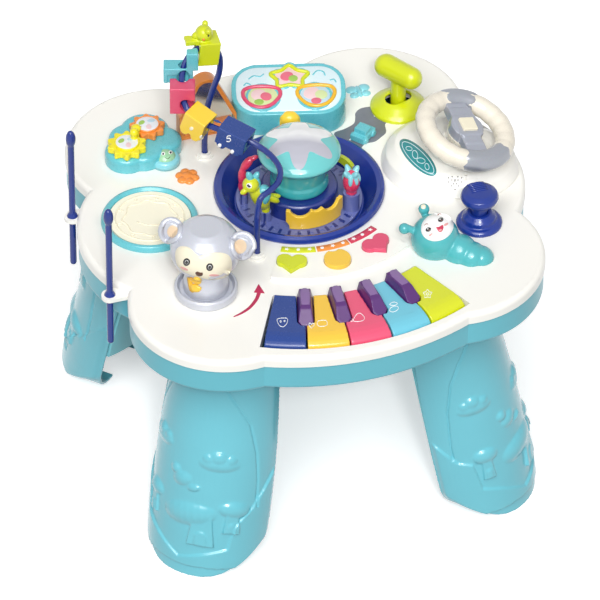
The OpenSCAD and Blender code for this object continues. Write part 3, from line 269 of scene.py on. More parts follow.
IVORY = plastic("ivory_plastic", "FCFAF3", 0.3, 0.4, 0.012)
BARK = plastic("bark_brown", "54301F", 0.35, 0.0)
LEG_TEAL = plastic("leg_teal", "6ABFCE", 0.22, 0.3, 0.03, 0.03, shine=0.4)
SKIRT_TEAL = plastic("skirt_teal", "6ABDCC", 0.32, 0.0, 0.03, shine=0.35)
# Painted light: the leg liners take a paler copy of the legs' teal, for their lit faces.
LINER_LIT_TEAL = plastic("liner_teal", "7CCFDA", 0.36, 0.25, 0.03)
TEAL = plastic("toy_teal", "63C0CB", 0.28, 0.45, 0.035)
PALE_TEAL = plastic("pale_teal", "8AD3DE", 0.3, 0.35, 0.03)
LID_BLUE = plastic("lid_blue", "DDF1F7", 0.26, 0.5, 0.02)
ROYAL = plastic("royal_blue", "17348E", 0.24, 0.15, 0.05)
NAVY = plastic("navy", "1C3486", 0.25, 0.15, 0.05)
RAIL_BLUE = plastic("rail_blue", "183080", 0.22, 0.2, 0.05)
LIME = plastic("lime", "D2DB10", 0.3, 0.4, 0.04)
MOSS = plastic("pale_green", "9CCFA4", 0.3, 0.4, 0.04)
YELLOW = plastic("yellow", "FAD338", 0.3, 0.4, 0.03)
LEMON = plastic("lemon", "F1E41C", 0.3, 0.3, 0.04)
GRUB_TEAL = plastic("grub_teal", "4DB2B8", 0.25, 0.3, 0.04)
BADGE = plastic("badge_teal", "1F8A8E", 0.3, 0.25, 0.04)
GOLD = plastic("gold", "F0B81E", 0.3, 0.4, 0.04)
ORANGE = plastic("orange", "F0903A", 0.3, 0.4, 0.04)
PINK = plastic("pink", "DE486E", 0.3, 0.4, 0.04)
PARROT = plastic("parrot_lime", "D2D91E", 0.3, 0.4, 0.04)
BERRY = plastic("berry_red", "E03A5F", 0.28, 0.45, 0.04)
CRIMSON = plastic("crimson", "CC2F52", 0.28, 0.45, 0.04)
PURPLE = plastic("purple", "55286F", 0.34, 0.12, 0.05)
# Painted light: a lighter, greyer copy of the purple for the half keys' tops, which catch the light.
PURPLE_LIT_TOP = plastic("purple_top", "84639B", 0.3, 0.4, 0.04)
SILVER = silver_lacquer("silver_lacquer", "C9CCD6")
GRIP = silver_lacquer("grip_silver", "9EA2AB")
HUB = silver_lacquer("hub_silver", "A4A8B4")
CREAM = plastic("cream", "F8F0D6", 0.32, 0.2, 0.015)
DRUM_SKIN = plastic("drum_skin", "FDF9E2", 0.34, 0.2, 0.015)
SHELL = plastic("shell_cream", "F3EBDA", 0.28, 0.45, 0.02)
WHITE = plastic("white", "FCFCFB", 0.25, 0.4, 0.01)
BLACK = plastic("black", "1C1B1E", 0.25, 0.5, 0.02)
SKIN = plastic("ear_skin", "F3D9B8", 0.34, 0.25, 0.02)
KEY_YELLOW = plastic("key_yellow", "F7C83C", 0.3, 0.45, 0.035)
KEY_PINK = plastic("key_pink", "EA5478", 0.3, 0.45, 0.035)
KEY_TEAL = plastic("key_teal", "6FC6DC", 0.3, 0.45, 0.035)
KEY_LIME = plastic("key_lime", "D9DF14", 0.3, 0.45, 0.035)
KEY_BLUE = plastic("key_blue", "1A3F8C", 0.26, 0.15, 0.045)
PEARL = plastic("pearl_print", "E8ECF2", 0.22, 0.5, 0.02)
ASPHALT = printed("road_print", "6A6E78", "7C808A", 90.0)
LINE_WHITE = printed("line_white", "FBFBFA")
ICON_WHITE = printed("icon_white", "F6F8FA")
ARROW_RED = printed("arrow_red", "BE1A50", "AE1448")
BLUSH = printed("blush", "E79A98", "EFB0AC")
MOUTH = printed("mouth", "8E4E36")
PICTURE_PINK = printed("picture_pink", "F3D9DA", "E9C2C6", 120.0)
PICTURE_GREEN = printed("picture_green", "DDE8B8", "C9DC92", 120.0)
PICTURE_BLUE = printed("picture_blue", "CDE3EE", "A9CFE2", 120.0)
PICTURE_FRUIT = printed("picture_fruit", "E8788C", "DC5C78", 120.0)
PICTURE_LEAF = printed("picture_leaf", "8FBF4A", "A9CC62", 120.0)
BOARD = soft_touch("board_green", "1F6A38")
DARK = soft_touch("dark_parts", "26262A")
CELL = plastic("cell_wrap", "35363C", 0.35, 0.2, 0.03)
STEEL = plastic("screw_steel", "B9BBC0", 0.3, 0.0, 0.03, 0.2, 0.95)
SWITCH_RED = plastic("switch_red", "E4572E", 0.35, 0.2)

PETALS = 6  # on the dome's cap
PETAL_TURN = 252.5  # direction of one petal's tip, degrees
PETAL_REACH, PETAL_SWING = 0.028, 0.0075  # a petal's outline swings about this reach, m
PETAL_FLOOR = 0.325  # no petal is lower than this, m
CAP_FOOT = 0.289  # the painted shade on the teal is darkest down here, m


def petal_cap():
    """Glossy teal cap with silver petals moulded round its crown, with a painted reflection on the petals and
    painted shade darkening the teal towards its foot.
    """
    f = Finish("petal_cap")
    dx, dy, z = f.offset(BOWL)
    radius, angle = (dx * dx + dy * dy) ** 0.5, dy.math("ARCTAN2", dx)
    wave = (angle * PETALS + math.radians(-PETALS * PETAL_TURN)).math("COSINE")
    mask = ((wave * PETAL_SWING + PETAL_REACH - radius) * 2200.0 + 0.5).clamp() * (z > PETAL_FLOOR)
    # Painted reflection: the silver petals are paler on the side away from the eye and greyer on the side
    # facing it.
    far_side_sheen = ((dx * math.sin(TURN) + dy * math.cos(TURN)) * 90.0 + 0.55).clamp()
    petal = f.mix(far_side_sheen, paint("B9B9C5"), paint("F7F8F9"))
    # Painted shade: the teal darkens towards the cap's foot.
    depth = ((z - CAP_FOOT) * 20.0).clamp()
    teal = f.mix(depth, paint("2FA3A8"), paint("6CCBCB"))
    sockets = {
        "Base Color": f.mix(mask, teal, petal),
        "Roughness": f.noise(700.0) * 0.08 + 0.16,
        "Coat Weight": 0.7,
        "Coat Roughness": 0.06,
    }
    return f.surface(sockets, mask + f.noise(120.0) * 0.05, 0.35, 0.0006)


def looking_glass():
    """Acrylic mirror, very slightly wavy, with a warm cast."""
    f = Finish("mirror_acrylic")
    wave = f.noise(30.0)
    sockets = {
        "Base Color": f.mix(wave, paint("CDBFAE"), paint("E9E2D8")),
        "Metallic": 0.92,
        "Roughness": f.noise(500.0) * 0.05 + 0.08,
    }
    return f.surface(sockets, wave, 0.12, 0.001)


BARS = 36  # moulded round the turning plate
BAR_INNER, BAR_OUTER = 0.0495, 0.0565  # they reach from here to here, m
PLATE_RIM = 0.0375  # the plate is paler outside this, m
HOOP = (50.6, 43.3)  # middle of the lime hoop on the plate, mm
HOOP_REACH, HOOP_FLOOR = 0.014, 0.2725  # its reach and its lower end, m


def plate_blue():
    """Violet-blue turning plate with a moulded ring of short bars and a lime hoop."""
    f = Finish("plate_blue")
    dx, dy, z = f.offset(BOWL)
    radius, angle = (dx * dx + dy * dy) ** 0.5, dy.math("ARCTAN2", dx)
    bars = (angle * BARS).math("SINE") > 0.55
    mask = bars * (radius > BAR_INNER) * (radius < BAR_OUTER)
    base = f.mix(radius > PLATE_RIM, paint("1D2F7C"), paint("6670AC"))
    hoop_x, hoop_y, _ = f.offset(HOOP)
    hoop = ((hoop_x * hoop_x + hoop_y * hoop_y) ** 0.5 < HOOP_REACH) * (z > HOOP_FLOOR)
    sockets = {
        "Base Color": f.mix(hoop, f.mix(mask, base, paint("22327A")), paint("C3D32A")),
        "Roughness": f.noise(700.0) * 0.1 + 0.24,
        "Coat Weight": 0.45,
        "Coat Roughness": 0.1,
    }
    return f.surface(sockets, 1.0 - mask, 0.5, 0.0006)


CAP = petal_cap()
GLASS = looking_glass()
PLATE = plate_blue()

FINISH = {
    "top_shell": IVORY, "bottom_shell": SKIRT_TEAL, "leg_liners": LINER_LIT_TEAL, "battery_door": SKIRT_TEAL,
    "batteries": CELL, "circuit_board": BOARD, "speaker": DARK, "case_screws": STEEL,
    "power_switch": SWITCH_RED,
    "key_1": KEY_BLUE, "key_2": KEY_YELLOW, "key_3": KEY_PINK, "key_4": KEY_TEAL, "key_5": KEY_LIME,
    "button_panel": IVORY, "button_lime": LIME, "button_yellow": KEY_YELLOW, "button_pink": PINK,
    "bowl": ROYAL, "carousel": PLATE, "dome": CAP, "parrot": PARROT, "red_bird": BERRY, "berry": BERRY,
    "wave_fence": KEY_YELLOW, "rail": RAIL_BLUE, "car_1": LIME, "car_2": TEAL, "car_3": PINK, "car_4": YELLOW,
    "car_5": KEY_BLUE, "mirror_frame": ORANGE, "mirror_glass": GLASS, "story_box": TEAL, "toy_car": TEAL,
    "joystick_base": LIME, "joystick": LIME, "wheel_console": IVORY, "steering_wheel": SHELL,
    "horn_button": CREAM, "plunger_base": ROYAL, "plunger_knob": ROYAL, "grub": GRUB_TEAL, "gear_cloud": TEAL,
    "yellow_gear": LEMON, "orange_gear": ORANGE, "monkey_base": SILVER, "monkey": SILVER, "drum_ring": TEAL,
    "drum_head": DRUM_SKIN, "drumstick_1": NAVY, "drumstick_2": NAVY,
}
for leg in ("leg_front_left", "leg_front_right", "leg_back_left", "leg_back_right"):
    FINISH[leg] = LEG_TEAL
for i in range(1, 5):
    FINISH[f"half_key_{i}"] = PURPLE


def dress(piece, material):
    """Gives a node one finish in all its slots."""
    if piece.data.materials:
        for i in range(len(piece.data.materials)):
            piece.data.materials[i] = material
    else:
        piece.data.materials.append(material)


for name, node in cad.items():
    dress(node, FINISH[name])

# ---------------------------------------------------------------- making pieces


def at(x, y, z=0.0):
    return Matrix.Translation(Vector((x, y, z)) * MM)


def spin(degrees, axis="Z"):
    return Matrix.Rotation(math.radians(degrees), 4, axis)


rides = dict(body_of)  # body of each node and piece


def add(name, mesh, body, material):
    piece = bpy.data.objects.new(name, mesh)
    bpy.context.scene.collection.objects.link(piece)
    mesh.materials.clear()
    mesh.materials.append(material)
    for face in mesh.polygons:
        face.use_smooth = True
    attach(piece, body)
    rides[name] = body
    return piece


def skin(name, body, material, points, faces):
    mesh = bpy.data.meshes.new(name)
    mesh.from_pydata([tuple(p) for p in points], [], faces)
    mesh.validate()
    mesh.update()
    return add(name, mesh, body, material)


def round_off(piece, voxel, rounds):
    """Gives a piece the soft edges of a moulding, in its mesh."""
    remesh = piece.modifiers.new("cells", "REMESH")
    remesh.mode = "VOXEL"
    remesh.voxel_size = voxel * MM
    soft = piece.modifiers.new("soft", "SMOOTH")
    soft.factor, soft.iterations = 0.5, rounds
    graph = bpy.context.evaluated_depsgraph_get()
    graph.update()
    made = bpy.data.meshes.new_from_object(piece.evaluated_get(graph))
    piece.modifiers.clear()
    old, piece.data = piece.data, made
    bpy.data.meshes.remove(old)
    for face in made.polygons:
        face.use_smooth = True


def soften(node, voxel, rounds):
    """Shows a node's own shape with moulded edges instead of its sharp ones."""
    piece = add(f"{node}_moulded", cad[node].data.copy(), body_of[node], FINISH[node])
    round_off(piece, voxel, rounds)
    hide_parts(node)
    return piece


def ball(x, y, z, rx, ry=None, rz=None, turn=None):
    size = Matrix.Diagonal((rx * MM, (ry or rx) * MM, (rz or rx) * MM, 1))
    return "ball", at(x, y, z) @ (turn or Matrix()) @ size


def block(x, y, z, sx, sy, sz):
    return "block", at(x, y, z) @ Matrix.Diagonal((sx * MM, sy * MM, sz * MM, 1))


def rod(x, y, z, r, length, r2=None):
    """Upright rod about its middle; r2 is its radius at the top where it tapers."""
    return "rod", at(x, y, z), r * MM, (r2 or r) * MM, length * MM


def melt(name, body, material, forms, voxel=0.7, rounds=6, place=None):
    """Melts overlapping forms into one soft moulding."""
    lump = bmesh.new()
    for kind, home, *sizes in forms:
        where = (place or Matrix()) @ home
        if kind == "ball":
            bmesh.ops.create_icosphere(lump, subdivisions=4, radius=1, matrix=where)
        elif kind == "block":
            bmesh.ops.create_cube(lump, size=1, matrix=where)
        else:
            r1, r2, depth = sizes
            bmesh.ops.create_cone(
                lump, cap_ends=True, segments=48, radius1=r1, radius2=r2, depth=depth, matrix=where
            )
    mesh = bpy.data.meshes.new(name)
    lump.to_mesh(mesh)
    lump.free()
    piece = add(name, mesh, body, material)
    round_off(piece, voxel, rounds)
    return piece


def grid_faces(rows, across, closed=False, wrapped=True, flipped=False):
    """Faces between rows of points; closed joins the last row to the first, wrapped each row's ends."""
    faces = []
    for i in range(rows if closed else rows - 1):
        j = (i + 1) % rows
        for k in range(across if wrapped else across - 1):
            m = (k + 1) % across
            a, b, c, d = i * across + k, i * across + m, j * across + m, j * across + k
            faces.append((a, d, c, b) if flipped else (a, b, c, d))
    return faces


def caps(rows, across):
    """Faces that close the two ends of a pipe of points."""
    return [tuple(reversed(range(across))), tuple(range((rows - 1) * across, rows * across))]


def turned(name, body, material, profile, place, steps=64):
    """Lathe-turned piece from a profile of radius and height in mm."""
    points = []
    for r, z in profile:
        for k in range(steps):
            a = 2 * math.pi * k / steps
            points.append(place @ Vector((r * math.cos(a) * MM, r * math.sin(a) * MM, z * MM)))
    faces = grid_faces(len(profile), steps) + caps(len(profile), steps)
    return skin(name, body, material, points, faces)


def lens_profile(r, low, high, edge=0.6):
    """Profile of a lens-shaped button of radius r."""
    rise = [(r, low), (r, high - edge), (r - edge * 0.3, high - edge * 0.3), (r - edge, high)]
    return rise + [(r * k, high + 0.5 * (1 - k * k)) for k in (0.7, 0.45, 0.2, 0.02)]


def bend(p0, p1, p2, p3, cuts):
    """Points of a smooth line from p1 up to p2, with its neighbours p0 and p3."""
    line = []
    for j in range(cuts):
        t = j / cuts
        line.append(
            0.5 * (2 * p1 + (p2 - p0) * t + (2 * p0 - 5 * p1 + 4 * p2 - p3) * t * t
                   + (3 * p1 - p0 - 3 * p2 + p3) * t ** 3)
        )
    return line


def smooth_loop(points, cuts=6):
    """Closed smooth line through a few points."""
    n, line = len(points), []
    for i in range(n):
        line += bend(*(Vector(points[(i + k) % n]) for k in (-1, 0, 1, 2)), cuts)
    return line


def smooth_line(points, cuts=6):
    """Open smooth line through a few points."""
    ends = [2 * Vector(points[0]) - Vector(points[1])] + [Vector(p) for p in points]
    ends.append(2 * Vector(points[-1]) - Vector(points[-2]))
    line = []
    for i in range(1, len(ends) - 2):
        line += bend(*ends[i - 1 : i + 3], cuts)
    return line + [ends[-2]]


def oval(u, v, a, b=None, turn=0.0, n=40):
    c, s = math.cos(math.radians(turn)), math.sin(math.radians(turn))
    b = b or a
    line = []
    for k in range(n):
        x, y = a * math.cos(2 * math.pi * k / n), b * math.sin(2 * math.pi * k / n)
        line.append(Vector((u + x * c - y * s, v + x * s + y * c)))
    return line


def star_line(u, v, r, inner=0.6, lobes=5, turn=-90.0):
    tips = [around((u, v), r if k % 2 == 0 else r * inner, turn + 180 * k / lobes) for k in range(2 * lobes)]
    return smooth_loop(tips, 5)


def heart_line(u, v, size):
    half = [(0.22, -0.48), (0.5, -0.4), (0.52, -0.08), (0.28, 0.22)]
    shape = [(0, -0.25)] + half + [(0, 0.5)] + [(-x, y) for x, y in reversed(half)]
    return smooth_loop([(u + size * x, v + size * y) for x, y in shape], 4)


trees = {}


def tree_of(piece):
    """Search tree of a piece's surface."""
    if piece.name not in trees:
        mesh = piece.data
        mesh.calc_loop_triangles()
        trees[piece.name] = BVHTree.FromPolygons(
            [v.co.copy() for v in mesh.vertices], [tuple(t.vertices) for t in mesh.loop_triangles]
        )
    return trees[piece.name]


def touch(carrier, view, point):
    """Where a sight line meets the carrier, with the surface's direction there."""
    start, way = view(point[0], point[1])
    place, normal, _, _ = tree_of(carrier).ray_cast(start, way)
    if place is None:
        return None
    return place, -normal if normal.dot(way) > 0 else normal


def lay(carrier, view, points):
    """Meets the carrier with every point, and carries on flat past its edge."""
    spots = [touch(carrier, view, p) for p in points]
    known = [s for s in spots if s]
    if not known:
        raise ValueError("nothing of the carrier lies under the outline")
    middle = sum((s[0] for s in known), Vector()) / len(known)
    facing = sum((s[1] for s in known), Vector()).normalized()
    full = []
    for point, spot in zip(points, spots):
        if spot is None:
            start, way = view(point[0], point[1])
            reach = (middle - start).dot(facing) / way.dot(facing)
            spot = (start + way * reach, facing)
        full.append(spot)
    return full


SUNK = -0.3  # a laid shape's rim lies this far under the surface, mm
SLOPE = 0.35  # width of its sloping edge


def sticker(name, material, carrier, outline, proud=0.35, crown=0.0, view=ahead, rings=6):
    """Thin raised shape laid on the surface that is seen inside an outline."""
    n = len(outline)
    centre = sum((Vector(p) for p in outline), Vector((0, 0))) / n
    span = max((Vector(p) - centre).length for p in outline)
    shares = [1.0, 1.0, 1 - SLOPE / max(span, 1)] + [1 - (k + 1) / rings for k in range(1, rings - 1)]
    lifts = [SUNK, proud * 0.6] + [proud + crown * (1 - s * s) for s in shares[2:]]
    points = []
    for share, lift in zip(shares, lifts):
        for place, normal in lay(carrier, view, [centre + (Vector(p) - centre) * share for p in outline]):
            points.append(place + normal * lift * MM)
    place, normal = touch(carrier, view, centre) or (sum(points[-n:], Vector()) / n, Vector((0, 0, 0)))
    points.append(place + normal * (proud + crown) * MM)
    faces = grid_faces(len(shares), n)
    last, tip = (len(shares) - 1) * n, len(points) - 1
    faces += [(last + k, last + (k + 1) % n, tip) for k in range(n)]
    return skin(name, rides[carrier.name], material, points, faces)


def neighbours(line, i, closed):
    """The points before and after one of a line."""
    n = len(line)
    before = line[(i - 1) % n] if closed or i > 0 else line[i]
    after = line[(i + 1) % n] if closed or i < n - 1 else line[i]
    return before, after


def ribbon(name, material, carrier, spine, width, proud=0.3, view=ahead, closed=False):
    """Flat raised strip along a line; width is a number or a function of the share of the way."""
    n = len(spine)
    across = (-0.5, -0.38, 0.0, 0.38, 0.5)
    edges = []
    for i, p in enumerate(spine):
        before, after = neighbours(spine, i, closed)
        way = (Vector(after) - Vector(before)).normalized()
        side = Vector((-way.y, way.x))
        w = width(i / (n - 1)) if callable(width) else width
        edges += [Vector(p) + side * w * s for s in across]
    lifts = (SUNK, proud, proud * 1.15, proud, SUNK)
    spots = lay(carrier, view, edges)
    points = [place + normal * lifts[i % 5] * MM for i, (place, normal) in enumerate(spots)]
    faces = grid_faces(n, 5, closed, wrapped=False, flipped=True)
    if not closed:
        faces += [(0, 1, 2, 3, 4), tuple((n - 1) * 5 + k for k in (4, 3, 2, 1, 0))]
    return skin(name, rides[carrier.name], material, points, faces)


def tube(name, body, material, points, radius, closed=False, sides=10):
    """Round bar along points in metres."""
    n = len(points)
    rings = []
    lift = Vector((0.31, 0.17, 0.93)).normalized()
    for i, p in enumerate(points):
        before, after = neighbours(points, i, closed)
        way = (after - before).normalized()
        side = way.cross(lift).normalized()
        other = side.cross(way)
        for k in range(sides):
            t = 2 * math.pi * k / sides
            rings.append(p + (side * math.cos(t) + other * math.sin(t)) * radius * MM)
    faces = grid_faces(n, sides, closed) + ([] if closed else caps(n, sides))
    return skin(name, body, material, rings, faces)


def bead(name, material, carrier, line, radius, sink=0.3, view=ahead, closed=True):
    """Round moulded rim that follows a line on a surface."""
    spine = [p + n * radius * (1 - 2 * sink) * 0.5 * MM for p, n in lay(carrier, view, line)]
    return tube(name, rides[carrier.name], material, spine, radius, closed)


def plate(name, body, material, outline, place, low, high, edge=0.5):
    """Flat plate with an eased upper edge, from an outline in mm."""
    n = len(outline)
    line = [Vector(p) for p in outline]
    area = sum(line[i].x * line[(i + 1) % n].y - line[(i + 1) % n].x * line[i].y for i in range(n))
    if area < 0:
        line.reverse()
    inward = []
    for i in range(n):
        way = (line[(i + 1) % n] - line[i - 1]).normalized()
        inward.append(Vector((-way.y, way.x)))
    points = []
    for ease, z in ((0, low), (0, high - edge), (edge * 0.3, high - edge * 0.3), (edge, high)):
        for p, q in zip(line, inward):
            points.append(place @ Vector(((p.x + q.x * ease) * MM, (p.y + q.y * ease) * MM, z * MM)))
    faces = grid_faces(4, n) + [tuple(range(3 * n, 4 * n)), tuple(reversed(range(n)))]
    mesh = bpy.data.meshes.new(name)
    mesh.from_pydata([tuple(p) for p in points], [], faces)
    form = bmesh.new()
    form.from_mesh(mesh)
    bmesh.ops.triangulate(form, faces=[f for f in form.faces if len(f.verts) > 4])
    form.to_mesh(mesh)
    form.free()
    piece = add(name, mesh, body, material)
    mesh.set_sharp_from_angle(angle=math.radians(50))
    return piece


def on_table(points):
    """Places on the playing surface, in mm, that are seen at places of the view."""
    flat = []
    for u, v in points:
        start, way = ahead(u, v)
        spot = start + way * ((TOP * MM - start.z) / way.z)
        flat.append((spot.x / MM, spot.y / MM))
    return flat


# ---------------------------------------------------------------- legs

LEG_FEET = {"leg_front_left": (-134, -124, 225), "leg_front_right": (134, -124, 315),
            "leg_back_left": (-142, 143, 135), "leg_back_right": (142, 143, 45)}  # foot and heading
LEG_LEAN = math.radians(12.5)
LEG_BELLY, BELLY_HEIGHT, BELLY_EASE = 60, 75, 2300  # the face bulges most at this height
RELIEF_ENDS = (230, 236)  # the relief fades out between these heights
RELIEF_SIDES = (84, 90)  # and between these angles from the outward side
HILL_RISE, HILL_EDGE = 2.2, (1.8, 0.6)  # the hills' edge slopes from below to above its line
SEAM_DEPTH, SEAM_SPREAD, ARC_PER_DEGREE = 1.9, 1.3, 1.05
FACE_DEPTH = 2.0  # what lies deeper than this under the face is the inside
# Angle from the outward side and height along the leg, for the hills' edge and for two seams.
HILLS = [(-90, 92), (-83, 86), (-67, 67), (-54, 62), (-50, 32), (-32, 24), (-4, 8), (20, 16), (42, 23),
         (46, 50), (61, 65), (77, 89), (90, 104)]
SEAMS = [[(8, 234), (24, 197), (40, 176), (53, 157), (62, 125), (66, 95), (67, 66)],
         [(-9, 234), (-29, 197), (-46, 176), (-58, 156), (-67, 125), (-71, 84), (-71, 70)]]


def step_up(value, low, high):
    t = max(0.0, min(1.0, (value - low) / (high - low)))
    return t * t * (3 - 2 * t)


def between(table, value, column=0):
    """The other column of a table of pairs, read in between its rows at a value of one column."""
    rows = sorted(table, key=lambda row: row[column])
    value = max(rows[0][column], min(rows[-1][column], value))
    for a, b in zip(rows, rows[1:]):
        if value <= b[column]:
            share = (value - a[column]) / max(b[column] - a[column], 0.001)
            return a[1 - column] + (b[1 - column] - a[1 - column]) * share
    return rows[-1][1 - column]


def leg_relief(angle, z):
    """How far the leg's face stands proud at an angle from its outward side and a height."""
    top = between(HILLS, angle)
    proud = HILL_RISE * (1 - step_up(z, top - HILL_EDGE[0], top + HILL_EDGE[1]))
    for seam in SEAMS:
        off = (angle - between(seam, z, 1)) * ARC_PER_DEGREE
        if seam[-1][1] < z:
            proud -= SEAM_DEPTH * math.exp(-off * off / SEAM_SPREAD)
    return proud


def moulded_leg(node):
    piece = add(f"{node}_moulded", cad[node].data.copy(), "table", LEG_TEAL)
    round_off(piece, 1.0, 3)
    x0, y0, heading = LEG_FEET[node]
    home = at(x0, y0) @ spin(heading) @ Matrix.Rotation(-LEG_LEAN, 4, "Y")
    back = home.inverted()
    turn = home.to_3x3()
    for vertex in piece.data.vertices:
        p = back @ vertex.co / MM
        r = math.hypot(p.x, p.y)
        face = LEG_BELLY - (p.z - BELLY_HEIGHT) ** 2 / BELLY_EASE
        if p.x > 1 and r > face - FACE_DEPTH and p.z > 0:
            angle = math.degrees(math.atan2(p.y, p.x))
            fade = (1 - step_up(abs(angle), *RELIEF_SIDES)) * (1 - step_up(p.z, *RELIEF_ENDS))
            out = Vector((p.x / r, p.y / r, 0))
            vertex.co += turn @ out * leg_relief(angle, p.z) * fade * MM
    piece.data.update()
    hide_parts(node)


for node in LEG_FEET:
    moulded_leg(node)

# ---------------------------------------------------------------- keyboard and buttons

key_tops = {i: soften(f"key_{i}", 0.7, 5) for i in range(1, 6)}
for i in range(1, 5):
    soften(f"half_key_{i}", 0.55, 4)

FACET = [(3.5, -3.9), (23, -3.9), (24.5, -2.6), (24.5, 2.6), (23, 3.9), (3.5, 3.9)]
FACET_START = 158  # from the bowl's centre
HALF_KEY_TOP = TOP + 14.2
# A thin facet on each half key's top carries the painted light of the lighter purple.
for i in range(1, 5):
    corners = [v.co / MM for v in cad[f"half_key_{i}"].data.vertices if v.co.z > (TOP + 13.8) * MM]
    middle = sum(corners, Vector()) / len(corners)
    heading = math.atan2(middle.y - BOWL[1], middle.x - BOWL[0])
    start = at(BOWL[0] + FACET_START * math.cos(heading), BOWL[1] + FACET_START * math.sin(heading))
    home = start @ Matrix.Rotation(heading, 4, "Z")
    plate(f"half_key_{i}_lit_facet", f"half_key_{i}", PURPLE_LIT_TOP, smooth_loop(FACET, 3), home,
          HALF_KEY_TOP - 0.8, HALF_KEY_TOP, 0.3)

# Closed lines of the sign on each key, at places of the view.
KEY_SIGNS = {
    1: [smooth_loop([(277.5, 319), (286, 318), (287.5, 322), (284, 326.5), (280, 326), (277.8, 322.5)], 4),
        oval(280.6, 321.5, 0.7), oval(284.6, 321.0, 0.7)],
    2: [smooth_loop([(318, 321), (326, 320.5), (326.5, 325.5), (318.5, 326)], 3),
        heart_line(311.5, 325.5, 5.0)],
    3: [smooth_loop([(353.5, 319), (358.5, 313), (364, 316.5), (363, 320.5), (355, 321.5)], 3),
        oval(351.5, 320, 1.6, 1.2)],
    4: [oval(394.0, 309.0, 4.6, 2.6, -20),
        smooth_loop([(389.5, 304.5), (393.5, 302), (397.5, 303.5), (394, 305.5)], 3)],
    5: [star_line(427.5, 294.0, 4.6, 0.62, 5), oval(427.5, 294.0, 1.4, 1.1)],
}
for i, lines in KEY_SIGNS.items():
    for j, line in enumerate(lines):
        ribbon(f"key_{i}_icon_{j}", ICON_WHITE, key_tops[i], line, 0.62, 0.2, closed=True)

for tone in ("lime", "yellow", "pink"):
    soften(f"button_{tone}", 0.6, 8)

STRIP_RADIUS, STRIP_WIDTH = 93, 9.0
STRIPS = ((-118, -98, LIME), (-97.2, -77.8, ORANGE), (-77, -58, CRIMSON))  # from, to, finish
STRIP_TOP = TOP + 5.0
for k, (a0, a1, tone) in enumerate(STRIPS):
    spine = [Vector(around(BOWL, STRIP_RADIUS, a0 + (a1 - a0) * i / 24)) for i in range(25)]
    ribbon(f"panel_strip_{k}", tone, cad["button_panel"], spine, STRIP_WIDTH, 0.7, over)
    for j in range(3):
        spot = around(BOWL, STRIP_RADIUS, a0 + (a1 - a0) * (j + 0.5) / 3)
        shape = oval(*spot, 1.7) if (j + k) % 2 else star_line(*spot, 2.4, 0.5)
        plate(f"panel_mark_{k}_{j}", "table", LINE_WHITE, shape, Matrix(), STRIP_TOP - 0.4, STRIP_TOP, 0.1)

# ---------------------------------------------------------------- train

BEAR_EYE, BEAR_NOSE = (208.4, 35.8), (203.5, 39.5)
YELLOW_HUBS = ((191.5, 128.5), (201.5, 137.0))
BLUE_HUBS = ((219.6, 145.3), (232.2, 151.6))
FIVE = [(230.9, 135.9), (227.6, 136.1), (227.0, 138.6), (229.3, 138.2), (230.6, 139.8), (229.2, 141.6),
        (226.4, 141.2)]

cars = {i: soften(f"car_{i}", 0.6, 6 if i == 1 else 4) for i in range(1, 6)}
ribbon("car_5_number", LINE_WHITE, cars[5], smooth_line(FIVE, 4), 1.15, 0.25)
for j, spot in enumerate(BLUE_HUBS):
    sticker(f"car_5_hub_{j}", LINE_WHITE, cars[5], oval(*spot, 1.9), 0.8, 0.4)
for j, spot in enumerate(YELLOW_HUBS):
    sticker(f"car_4_hub_{j}", CREAM, cars[4], oval(*spot, 1.9), 0.6, 0.3)
sticker("car_1_eye", BLACK, cars[1], oval(*BEAR_EYE, 0.9), 0.4, 0.3)
sticker("car_1_nose", ORANGE, cars[1], oval(*BEAR_NOSE, 1.5, 1.1), 0.5, 0.5)

# ---------------------------------------------------------------- carousel figures

PERCH = at(-37.2, 2.7, 282.2)  # foot of the parrot
STEM = at(45.6, -4.8, 290.2)  # foot of the berry
PARROT_EYE, PARROT_PUPIL = (249.2, 185.8), (248.9, 185.9)

parrot = soften("parrot", 0.5, 4)
soften("red_bird", 0.5, 4)
soften("berry", 0.5, 4)
soften("wave_fence", 0.55, 4)
rider = rides["parrot"]
crest = [ball(-15.5, 0, 45.2, 3.5, 3.5, 7.5, spin(-18, "Y")),
         ball(-10, 1, 43.3, 3.2, 3.2, 6.6, spin(30, "Y")),
         ball(-8.6, 0.6, 37.5, 3.6, 4.6, 6.5, spin(-12, "Y"))]
melt("parrot_crest", rider, TEAL, crest, 0.5, 4, PERCH)
wing = [ball(-1.4, -5.2, 23.2, 4.7, 4.4, 10.4, spin(12, "Y")), ball(-3, -2, 28, 6.4, 5.6, 5.2)]
melt("parrot_wing", rider, TEAL, wing, 0.5, 4, PERCH)
eye_ring = sticker("parrot_eye_ring", WHITE, parrot, oval(*PARROT_EYE, 3.0, 2.3, 35), 0.3, 0.1)
sticker("parrot_eye", BLACK, eye_ring, oval(*PARROT_PUPIL, 2.0, 1.4, 35), 0.15, 0.15)


def leaf(a, reach, z, wide, long, lean):
    """One of the berry's leaves, in a direction from its stem."""
    return ball(*around((0, 0), reach, a), z, wide, wide, long, spin(a) @ spin(lean, "Y"))


leaves = [leaf(a, 4.3, 23, 3.2, 7.3, 35) for a in (20, 110, 200, 290)]
hanging = [leaf(a, 6.4, 19, 2.4, 6.2, -10) for a in (-20, 245, 295, 150)]
melt("berry_leaves", rider, PALE_TEAL, leaves + hanging, 0.5, 4, STEM)

# ---------------------------------------------------------------- monkey

